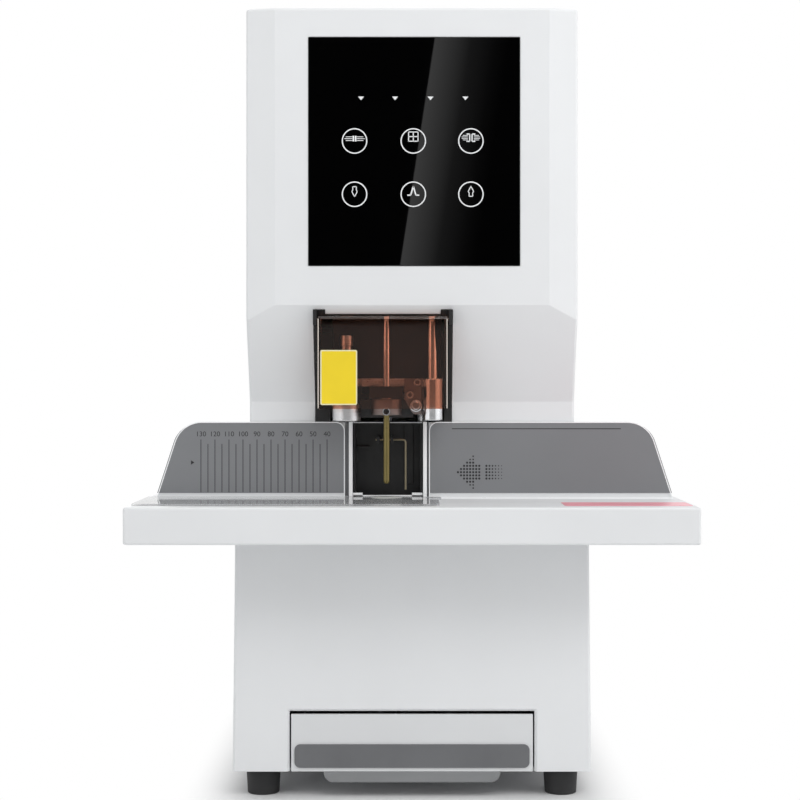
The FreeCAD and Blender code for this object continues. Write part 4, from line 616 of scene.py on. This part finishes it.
class RIVETER_OT_casing(Operator):
    """Dress the painted casing, the table and their screws"""
    bl_idname = "riveter.casing"
    bl_label = "Casing and table"

    def execute(self, context):
        edge = context.scene.riveter_casing.edge
        for node in ("head_shell", "base_shell", "table_top"):
            refined(node, edge)
        for node in ("head_rear_cover", "base_rear_cover"):
            refined(node)
        refined("case_screws", BEVEL_SHEET)
        refined("rubber_feet", BEVEL_RUBBER, segments=3)
        sheet = refined("acrylic_sheet", BEVEL_BOX)
        sheet.data.transform(Matrix.Translation((0, 0, SHEET_LIFT)))
        refined("cutting_pad", BEVEL_BLOCK)
        low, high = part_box("table_top")
        bm = bmesh.new()
        width, depth = (side * MM for side in RED_FILM_SIZE)
        left = high.x - RED_FILM_MARGIN[0] * MM - width
        front = low.y + RED_FILM_MARGIN[1] * MM
        verts = [bm.verts.new((left + x, front + y, high.z)) for x, y in level_card(0, 0, width, depth)]
        bm.faces.new(verts)
        bmesh.ops.bevel(bm, geom=verts, offset=RED_FILM_CORNER * MM, offset_type="OFFSET", affect="VERTICES",
                        segments=4, profile=0.5, material=-1)
        pull(bm, list(bm.faces), (0, 0, RED_FILM_LIFT))
        settle("table_film", outward(bm), "frame", "red_film")
        return {"FINISHED"}


class RIVETER_OT_touch_panel(Operator):
    """Dress the black glass panel and print its key signs"""
    bl_idname = "riveter.touch_panel"
    bl_label = "Touch panel"

    def execute(self, context):
        settings = context.scene.riveter_panel
        refined("touch_glass", BEVEL_GLASS, segments=3)
        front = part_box("touch_glass")[0].y
        y1 = front + INK_SUNK
        y0 = front - KEY_INK
        line = settings.line
        bm = bmesh.new()
        keys = [(x * MM, z * MM) for z in KEY_ROWS for x in KEY_COLUMNS]
        for centre in keys:
            hoop(bm, centre, settings.ring_radius, settings.ring_radius - line, y0, y1)

        def sign(index, points, width=0.75, closed=False):
            # Points and widths count in line widths from the key's centre.
            x, z = keys[index]
            path(bm, [(x + px * line, z + pz * line) for px, pz in points], width * line, y0, y1, closed)
        for side in (-1, 1):
            sign(0, [(side * 1.0, -0.4), (side * 1.0, 4.5)], 1.4)
            for z, reach in ((0.4, 7.6), (2.0, 8.8), (3.6, 7.6)):
                sign(0, [(side * 1.9, z), (side * reach, z)], 0.55)
            sign(2, [(side * 3.8, -0.3), (side * 1.0, -0.3), (side * 1.0, 6.0), (side * 3.8, 6.0)], 1.0)
            for z, reach in ((0.9, 7.0), (2.2, 8.0), (3.5, 8.0), (4.8, 7.0)):
                sign(2, [(side * 2.6, z), (side * reach, z)], 0.5)
        sign(1, [(-4.1, -0.2), (4.1, -0.2), (4.1, 7.8), (-4.1, 7.8)], 0.8, True)
        sign(1, [(0, -0.2), (0, 7.8)], 0.8)
        sign(1, [(-4.1, 3.8), (4.1, 3.8)], 0.8)
        arrow = [(-1.6, 6.6), (1.6, 6.6), (1.5, 3.6), (2.4, 2.4), (0, -2.2), (-2.4, 2.4), (-1.5, 3.6)]
        sign(3, arrow, 0.75, True)
        sign(5, [(x, 4.8 - z) for x, z in arrow], 0.75, True)
        peak = [(-5.2, -0.8), (-2.4, -0.8), (-1.7, 1.2), (0, 7.0), (1.7, 1.2), (2.4, -0.8), (5.2, -0.8)]
        sign(4, peak, 1.2)
        for x in PILOT_COLUMNS:
            prism(bm, [((x + px) * MM, (PILOT_ROW + pz) * MM) for px, pz in PILOT_SHAPE], y0, y1)
        settle("panel_signs", outward(bm), "frame", "white_ink")
        return {"FINISHED"}


class RIVETER_OT_fences(Operator):
    """Dress the back fences and print the scale and the arrow"""
    bl_idname = "riveter.fences"
    bl_label = "Fences and scale"

    def execute(self, context):
        settings = context.scene.riveter_fences
        refined("fences", BEVEL_SHEET)
        refined("scale_plate", BEVEL_PLATE, segments=1)
        refined("arrow_plate", BEVEL_PLATE, segments=1)
        low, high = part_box("scale_plate")
        y1 = low.y + INK_SUNK
        y0 = low.y - PLATE_INK
        bottom = low.z + SCALE_FOOT * MM
        bm = bmesh.new()
        # A long line with a number and a short line take turns.
        for i in range(2 * (settings.last - settings.first) // 10 + 1):
            x = (SCALE_ZERO - settings.first) * MM - i * settings.step / 2
            top = (SCALE_SHORT_TOP if i % 2 else SCALE_LONG_TOP) * MM
            stroke(bm, (x, bottom), (x, top), SCALE_LINE * MM, y0, y1)
            if i % 2 == 0:
                number = str(settings.first + 5 * i)
                lettering(bm, number, (x, SCALE_DIGIT_ROW * MM), settings.digit, y0, y1)
        settle("scale_lines", outward(bm), "frame", "black_ink")
        bm = bmesh.new()
        x, z = SCALE_MARK
        prism(bm, [((x + px) * MM, (z + pz) * MM) for px, pz in MARK_SHAPE], y0, y1)
        stroke(bm, *[(x * MM, z * MM) for x, z in LIMIT_LINE], LIMIT_WIDTH * MM, y0, y1)
        # The arrow: a head of dots, and a tail whose dots get smaller.
        dots = [(column, row, DOT_RADIUS if abs(row) < BARB_ROW else BARB_RADIUS)
                for column, reach in enumerate(ARROW_REACH) for row in range(-reach, reach + 1)]
        dots += [(TAIL_START + column, row, DOT_RADIUS - TAIL_SHRINK * column)
                 for column in range(TAIL_COLUMNS) for row in range(-TAIL_REACH, TAIL_REACH + 1)]
        for column, row, size in dots:
            centre = ((ARROW_TIP[0] + column * DOT_PITCH[0]) * MM, (ARROW_TIP[1] + row * DOT_PITCH[1]) * MM)
            dot(bm, centre, size * MM, y0, y1)
        settle("plate_signs", outward(bm), "frame", "black_ink")
        border = face_rim("fences", high.y, RIM_WIDTH * MM, high.y - low.y + RIM_LIFT)
        settle("fence_rims", border, "frame", "rail_white")
        return {"FINISHED"}


class RIVETER_OT_window(Operator):
    """Dress the black window frame, the amber guard, its plain film and the painted highlights on its side
    edges
    """
    bl_idname = "riveter.window"
    bl_label = "Window and guard"

    def execute(self, context):
        refined("window_frame", BEVEL_BLOCK)
        refined("amber_guard", BEVEL_BLOCK)
        low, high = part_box("amber_guard")
        y1 = low.y + GUARD_SUNK
        bm = bmesh.new()
        corners = [(x * MM, z * MM) for x, z in GUARD_FILM]
        rounded_patch(bm, *corners, GUARD_BORDER_CORNER * MM, low.y - GUARD_BORDER_LIFT, y1)
        settle("guard_film_border", outward(bm), "guard", "pale_film")
        bm = bmesh.new()
        inset = GUARD_BORDER * MM
        lower = [c + inset for c in corners[0]]
        upper = [c - inset for c in corners[1]]
        rounded_patch(bm, lower, upper, GUARD_FILM_CORNER * MM, low.y - GUARD_FILM_LIFT, y1)
        settle("guard_film", outward(bm), "guard", "yellow_film")
        # Pale strips on the guard's side edges: painted highlights of its clear edges
        bm = bmesh.new()
        width = GUARD_HIGHLIGHT_WIDTH * MM
        bottom = low.z + GUARD_HIGHLIGHT_ENDS[0] * MM
        top = high.z - GUARD_HIGHLIGHT_ENDS[1] * MM
        for x in (GUARD_SIDES[0] * MM, GUARD_SIDES[1] * MM - width):
            plank(bm, (x, bottom), (x + width, top), low.y - PLATE_INK, y1)
        settle("guard_edge_highlights", outward(bm), "guard", "guard_edge_highlight")
        return {"FINISHED"}


class RIVETER_OT_mechanism(Operator):
    """Dress the carriage, the drill, the press foot, the rivet head and the lift"""
    bl_idname = "riveter.mechanism"
    bl_label = "Mechanism"

    def execute(self, context):
        refined("carriage_plate", BEVEL_THICK, "plate_steel")
        for node in ("carriage_frame", "spindle_housing", "drill_motor", "chuck_screw", "rivet_head",
                     "frame_bridges", "lift_motor", "side_frames"):
            refined(node, BEVEL_BLOCK)
        refined("press_foot", BEVEL_BLOCK, "brushed_steel")
        refined("drill_chuck", BEVEL_BLOCK, "satin_steel")
        refined("roller_bracket", BEVEL_BLOCK, "satin_steel")
        for node in ("carriage_bushings", "spindle_bearings", "drill_spindle", "motor_pulley", "guide_roller",
                     "lift_screw", "guide_posts", "screw_bearings", "clearing_needle", "drill_belt"):
            refined(node, BEVEL_FINE)
        refined("drill_bit")
        low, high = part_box("chuck_screw")
        centre = ((low.x + high.x) / 2, (low.z + high.z) / 2)
        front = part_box("drill_chuck")[0].y
        outer, inner = (radius * MM for radius in SET_SCREW_RING)
        bm = bmesh.new()
        hoop(bm, centre, outer, inner, front - RING_LIFT, front + SET_SCREW_SUNK)
        settle("set_screw_rim", outward(bm), BODIES["drill_chuck"], "bearing_steel")
        outer, inner = (radius * MM for radius in BRACKET_RING)
        front = BRACKET_FRONT * MM
        bm = bmesh.new()
        for x, z in BRACKET_SCREWS:
            hoop(bm, (x * MM, z * MM), outer, inner, front - RING_LIFT, front + BRACKET_RING_SUNK)
        settle("bracket_screw_rims", outward(bm), BODIES["roller_bracket"], "bearing_steel")
        # Each coil spring is dressed without even shading and gets a mesh of its own.
        for node, joint, travel, end in (("press_spring", "press_slide", PRESS_TRAVEL * MM, 1),
                                         ("rivet_spring", "rivet_slide", RIVET_TRAVEL * MM, 0)):
            wire = refined(node, smooth=False)
            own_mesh(wire)
        return {"FINISHED"}


class RIVETER_OT_throat(Operator):
    """Dress the throat, its rails, the feeler, the anvil and the chute, and paint shade in the gaps beside it
    """
    bl_idname = "riveter.throat"
    bl_label = "Throat"

    def execute(self, context):
        for node in ("throat_liner", "anvil_guide", "lower_anvil"):
            refined(node, BEVEL_SHEET)
        refined("throat_rails", BEVEL_BLOCK, "rail_white")
        refined("paper_feeler", material="dull_wire")
        # The trim stands at the front of the liner's walls, behind the drill and the press foot.
        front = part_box("throat_liner")[1].y - TRIM_SETBACK * MM
        back = front + TRIM_DEPTH * MM
        sill = trim(SILL_PARTS, front - SILL_PROUD * MM, back)
        settle("throat_sill", sill, "frame", "rail_white")
        edge = trim([TOP_EDGE], front - TOP_EDGE_PROUD * MM, back)
        settle("throat_edge", edge, "frame", "bearing_steel")
        # Dark grey strips in the gaps beside the throat: painted shade, in the drawer strip's grey
        shade_strips = trim(SHADE_STRIP_PARTS, front - SHADE_STRIP_PROUD * MM, front + SHADE_STRIP_SUNK * MM)
        settle("throat_shade_strips", shade_strips, "frame", "label_grey")
        refined("scrap_chute", BEVEL_SHEET)
        return {"FINISHED"}


class RIVETER_OT_drawer(Operator):
    """Dress the scrap drawer"""
    bl_idname = "riveter.drawer"
    bl_label = "Scrap drawer"

    def execute(self, context):
        refined("drawer_front", BEVEL_THICK)
        refined("drawer_strip", BEVEL_BLOCK)
        refined("drawer_pull", BEVEL_PULL, "pull_grey", segments=3)
        refined("scrap_tray", BEVEL_BLOCK)
        return {"FINISHED"}


class RIVETER_OT_inside(Operator):
    """Dress the chassis, the boards and the rear fittings"""
    bl_idname = "riveter.inside"
    bl_label = "Chassis and rear"

    def execute(self, context):
        for node in ("chassis_sides", "power_supply", "power_inlet", "power_rocker", "touch_board",
                     "main_board"):
            refined(node, BEVEL_BOX)
        for node in ("base_plate", "deck_plate", "fan_frame", "fan_rotor"):
            refined(node)
        return {"FINISHED"}


def area_lamp(name, place, size, power):
    data = bpy.data.lights.new(name, "AREA")
    data.shape = "RECTANGLE"
    data.size, data.size_y = size
    data.energy = power
    lamp = bpy.data.objects.new(name, data)
    lamp.location = place
    lamp.rotation_mode = "QUATERNION"
    lamp.rotation_quaternion = (Vector(LAMP_AIM) - Vector(place)).to_track_quat("-Z", "Y")
    bpy.context.scene.collection.objects.link(lamp)


def background_rays(tree):
    # 1 for the rays that look at the background, or that metal and glass send there.
    rays = tree.nodes.new("ShaderNodeLightPath")
    total = rays.outputs["Is Camera Ray"]
    for kind in ("Is Glossy Ray", "Is Transmission Ray"):
        total = math_node(tree, "MAXIMUM", total, rays.outputs[kind])
    return total


def math_node(tree, operation, first, second):
    node = tree.nodes.new("ShaderNodeMath")
    node.operation = operation
    tree.links.new(first, node.inputs[0])
    tree.links.new(second, node.inputs[1])
    return node.outputs["Value"]


def glowing(name):
    # A material that only glows, with its glow node.
    material, tree, unlit = fresh(name)
    tree.nodes.remove(unlit)
    glow = tree.nodes.new("ShaderNodeEmission")
    tree.links.new(glow.outputs["Emission"], tree.nodes["Material Output"].inputs["Surface"])
    return material, tree, glow


def level_card(x0, z0, x1, z1):
    return [(x0, z0), (x1, z0), (x1, z1), (x0, z1)]


def stage_card(name, points, y, material):
    # A flat studio card behind the camera, which shows only in reflections and through clear plastic.
    bm = bmesh.new()
    bm.faces.new([bm.verts.new((x, y, z)) for x, z in points])
    mesh = bpy.data.meshes.new(name)
    bm.to_mesh(mesh)
    bm.free()
    mesh.materials.append(material)
    card = bpy.data.objects.new(name, mesh)
    bpy.context.scene.collection.objects.link(card)
    for kind in ("camera", "diffuse", "volume_scatter", "shadow"):
        setattr(card, "visible_" + kind, False)


class RIVETER_OT_stage(Operator):
    """Set the pale floor, the soft lamps, the sky and the camera"""
    bl_idname = "riveter.stage"
    bl_label = "Stage"

    def execute(self, context):
        scene = context.scene
        settings = scene.riveter_stage
        bm = bmesh.new()
        bmesh.ops.create_grid(bm, x_segments=1, y_segments=1, size=FLOOR_REACH)
        mesh = bpy.data.meshes.new("floor")
        bm.to_mesh(mesh)
        bm.free()
        floor = bpy.data.objects.new("floor", mesh)
        scene.collection.objects.link(floor)
        material, tree, bsdf = fresh("Pale floor")
        bsdf.inputs["Base Color"].default_value = (0.90, 0.90, 0.90, 1)
        bsdf.inputs["Roughness"].default_value = 0.7
        glow = tree.nodes.new("ShaderNodeEmission")
        glow.inputs["Color"].default_value = (1, 1, 1, 1)
        # Near the object the floor shows light and shadow. Further out it is white.
        place = tree.nodes.new("ShaderNodeVectorMath")
        place.operation = "ABSOLUTE"
        spot = coordinates(tree, (1 / FOOTPRINT[0], 1 / FOOTPRINT[1], 1))
        spot.node.inputs["Location"].default_value = (0, -FOOTPRINT_SHIFT / FOOTPRINT[1], 0)
        tree.links.new(spot, place.inputs[0])
        parts = tree.nodes.new("ShaderNodeSeparateXYZ")
        tree.links.new(place.outputs["Vector"], parts.inputs["Vector"])
        far = tree.nodes.new("ShaderNodeMapRange")
        far.interpolation_type = "SMOOTHSTEP"
        far.inputs["From Min"].default_value, far.inputs["From Max"].default_value = FOOTPRINT_FADE
        reach = math_node(tree, "MAXIMUM", parts.outputs["X"], parts.outputs["Y"])
        tree.links.new(reach, far.inputs["Value"])
        white = math_node(tree, "MULTIPLY", background_rays(tree), far.outputs["Result"])
        mix = tree.nodes.new("ShaderNodeMixShader")
        tree.links.new(white, mix.inputs["Fac"])
        tree.links.new(bsdf.outputs["BSDF"], mix.inputs[1])
        tree.links.new(glow.outputs["Emission"], mix.inputs[2])
        tree.links.new(mix.outputs["Shader"], tree.nodes["Material Output"].inputs["Surface"])
        mesh.materials.append(material)

        world = bpy.data.worlds.new("Studio sky")
        scene.world = world
        world.use_nodes = True
        tree = world.node_tree
        sky = tree.nodes["Background"]
        sky.inputs["Color"].default_value = (0.98, 0.99, 1.0, 1)
        sky.inputs["Strength"].default_value = settings.sky
        white = tree.nodes.new("ShaderNodeBackground")
        white.inputs["Color"].default_value = (1, 1, 1, 1)
        mix = tree.nodes.new("ShaderNodeMixShader")
        tree.links.new(background_rays(tree), mix.inputs["Fac"])
        tree.links.new(sky.outputs["Background"], mix.inputs[1])
        tree.links.new(white.outputs["Background"], mix.inputs[2])
        tree.links.new(mix.outputs["Shader"], tree.nodes["World Output"].inputs["Surface"])

        for name, place, size, share in LAMPS:
            area_lamp(name, place, size, settings.lamp_power * share)

        bottom, middle, top = CARD_LEVELS
        dark, tree, bsdf = fresh("Black flag")
        bsdf.inputs["Base Color"].default_value = (0, 0, 0, 1)
        bsdf.inputs["Specular IOR Level"].default_value = 0
        stage_card("black_flag", level_card(-CARD_REACH, middle, CARD_REACH, top), CARD_DEPTH, dark)
        grey, tree, glow = glowing("Grey flag")
        glow.inputs["Color"].default_value = (0.30, 0.30, 0.30, 1)
        stage_card("grey_flag", level_card(-CARD_REACH, bottom, CARD_REACH, middle), CARD_DEPTH, grey)
        # The bright window fades along its leaning edge's normal, as its reflection in the panel does.
        foot = WINDOW_FOOT[1] * math.sin(WINDOW_LEAN) - WINDOW_FOOT[0] * math.cos(WINDOW_LEAN)
        lit, tree, glow = glowing("Slanted window")
        fade = tree.nodes.new("ShaderNodeTexGradient")
        along = coordinates(tree, (1 / WINDOW_FADE,) * 3, (0, -WINDOW_LEAN, 0))
        along.node.inputs["Location"].default_value = (foot / WINDOW_FADE, 0, 0)
        tree.links.new(along, fade.inputs["Vector"])
        stops = [(0.0, (1, 1, 1)), (0.30, (0.46, 0.46, 0.46)), (0.45, (0.18, 0.18, 0.18)),
                 (0.75, (0.04, 0.04, 0.04)), (0.92, (0, 0, 0))]
        tree.links.new(ramp(tree, fade.outputs["Fac"], stops), glow.inputs["Color"])
        left = WINDOW_FOOT[0]
        corners = level_card(left, WINDOW_LEVELS[0], left + WINDOW_WIDTH, WINDOW_LEVELS[1])
        leaning = [(x + math.tan(WINDOW_LEAN) * (z - WINDOW_FOOT[1]), z) for x, z in corners]
        stage_card("slanted_window", leaning, WINDOW_DEPTH, lit)

        data = bpy.data.cameras.new("Camera")
        data.lens = settings.lens
        data.sensor_width = SENSOR_WIDTH
        data.shift_x, data.shift_y = PICTURE_SHIFT
        camera = bpy.data.objects.new("Camera", data)
        camera.location = (0, -settings.distance, settings.height)
        camera.rotation_euler = (math.radians(90), 0, 0)
        scene.collection.objects.link(camera)
        scene.camera = camera
        scene.view_settings.view_transform = "Standard"
        return {"FINISHED"}


class RIVETER_PT_sidebar(Panel):
    """Lists the steps in the 3D view's sidebar"""
    bl_label = "Riveter"
    bl_space_type = "VIEW_3D"
    bl_region_type = "UI"
    bl_category = "Riveter"

    def draw(self, context):
        for group in ("casing", "panel", "fences", "guard", "stage"):
            settings = getattr(context.scene, "riveter_" + group)
            for name in settings.__annotations__:
                self.layout.prop(settings, name)
        for operator in STEPS:
            self.layout.operator(operator.bl_idname)


GROUPS = {
    "riveter_casing": CasingSettings,
    "riveter_panel": PanelSettings,
    "riveter_fences": FenceSettings,
    "riveter_guard": GuardSettings,
    "riveter_stage": StageSettings,
}
STEPS = (
    RIVETER_OT_materials,
    RIVETER_OT_stage,
    RIVETER_OT_casing,
    RIVETER_OT_touch_panel,
    RIVETER_OT_fences,
    RIVETER_OT_window,
    RIVETER_OT_mechanism,
    RIVETER_OT_throat,
    RIVETER_OT_drawer,
    RIVETER_OT_inside,
)


def register():
    for name, group in GROUPS.items():
        bpy.utils.register_class(group)
        setattr(bpy.types.Scene, name, PointerProperty(type=group))
    for step in STEPS:
        bpy.utils.register_class(step)
    bpy.utils.register_class(RIVETER_PT_sidebar)


def unregister():
    bpy.utils.unregister_class(RIVETER_PT_sidebar)
    for step in reversed(STEPS):
        bpy.utils.unregister_class(step)
    for name, group in GROUPS.items():
        delattr(bpy.types.Scene, name)
        bpy.utils.unregister_class(group)


def main():
    register()
    bpy.ops.riveter.materials()
    bpy.ops.riveter.stage()
    bpy.ops.riveter.casing()
    bpy.ops.riveter.touch_panel()
    bpy.ops.riveter.fences()
    bpy.ops.riveter.window()
    bpy.ops.riveter.mechanism()
    bpy.ops.riveter.throat()
    bpy.ops.riveter.drawer()
    bpy.ops.riveter.inside()


if __name__ == "__main__":
    main()
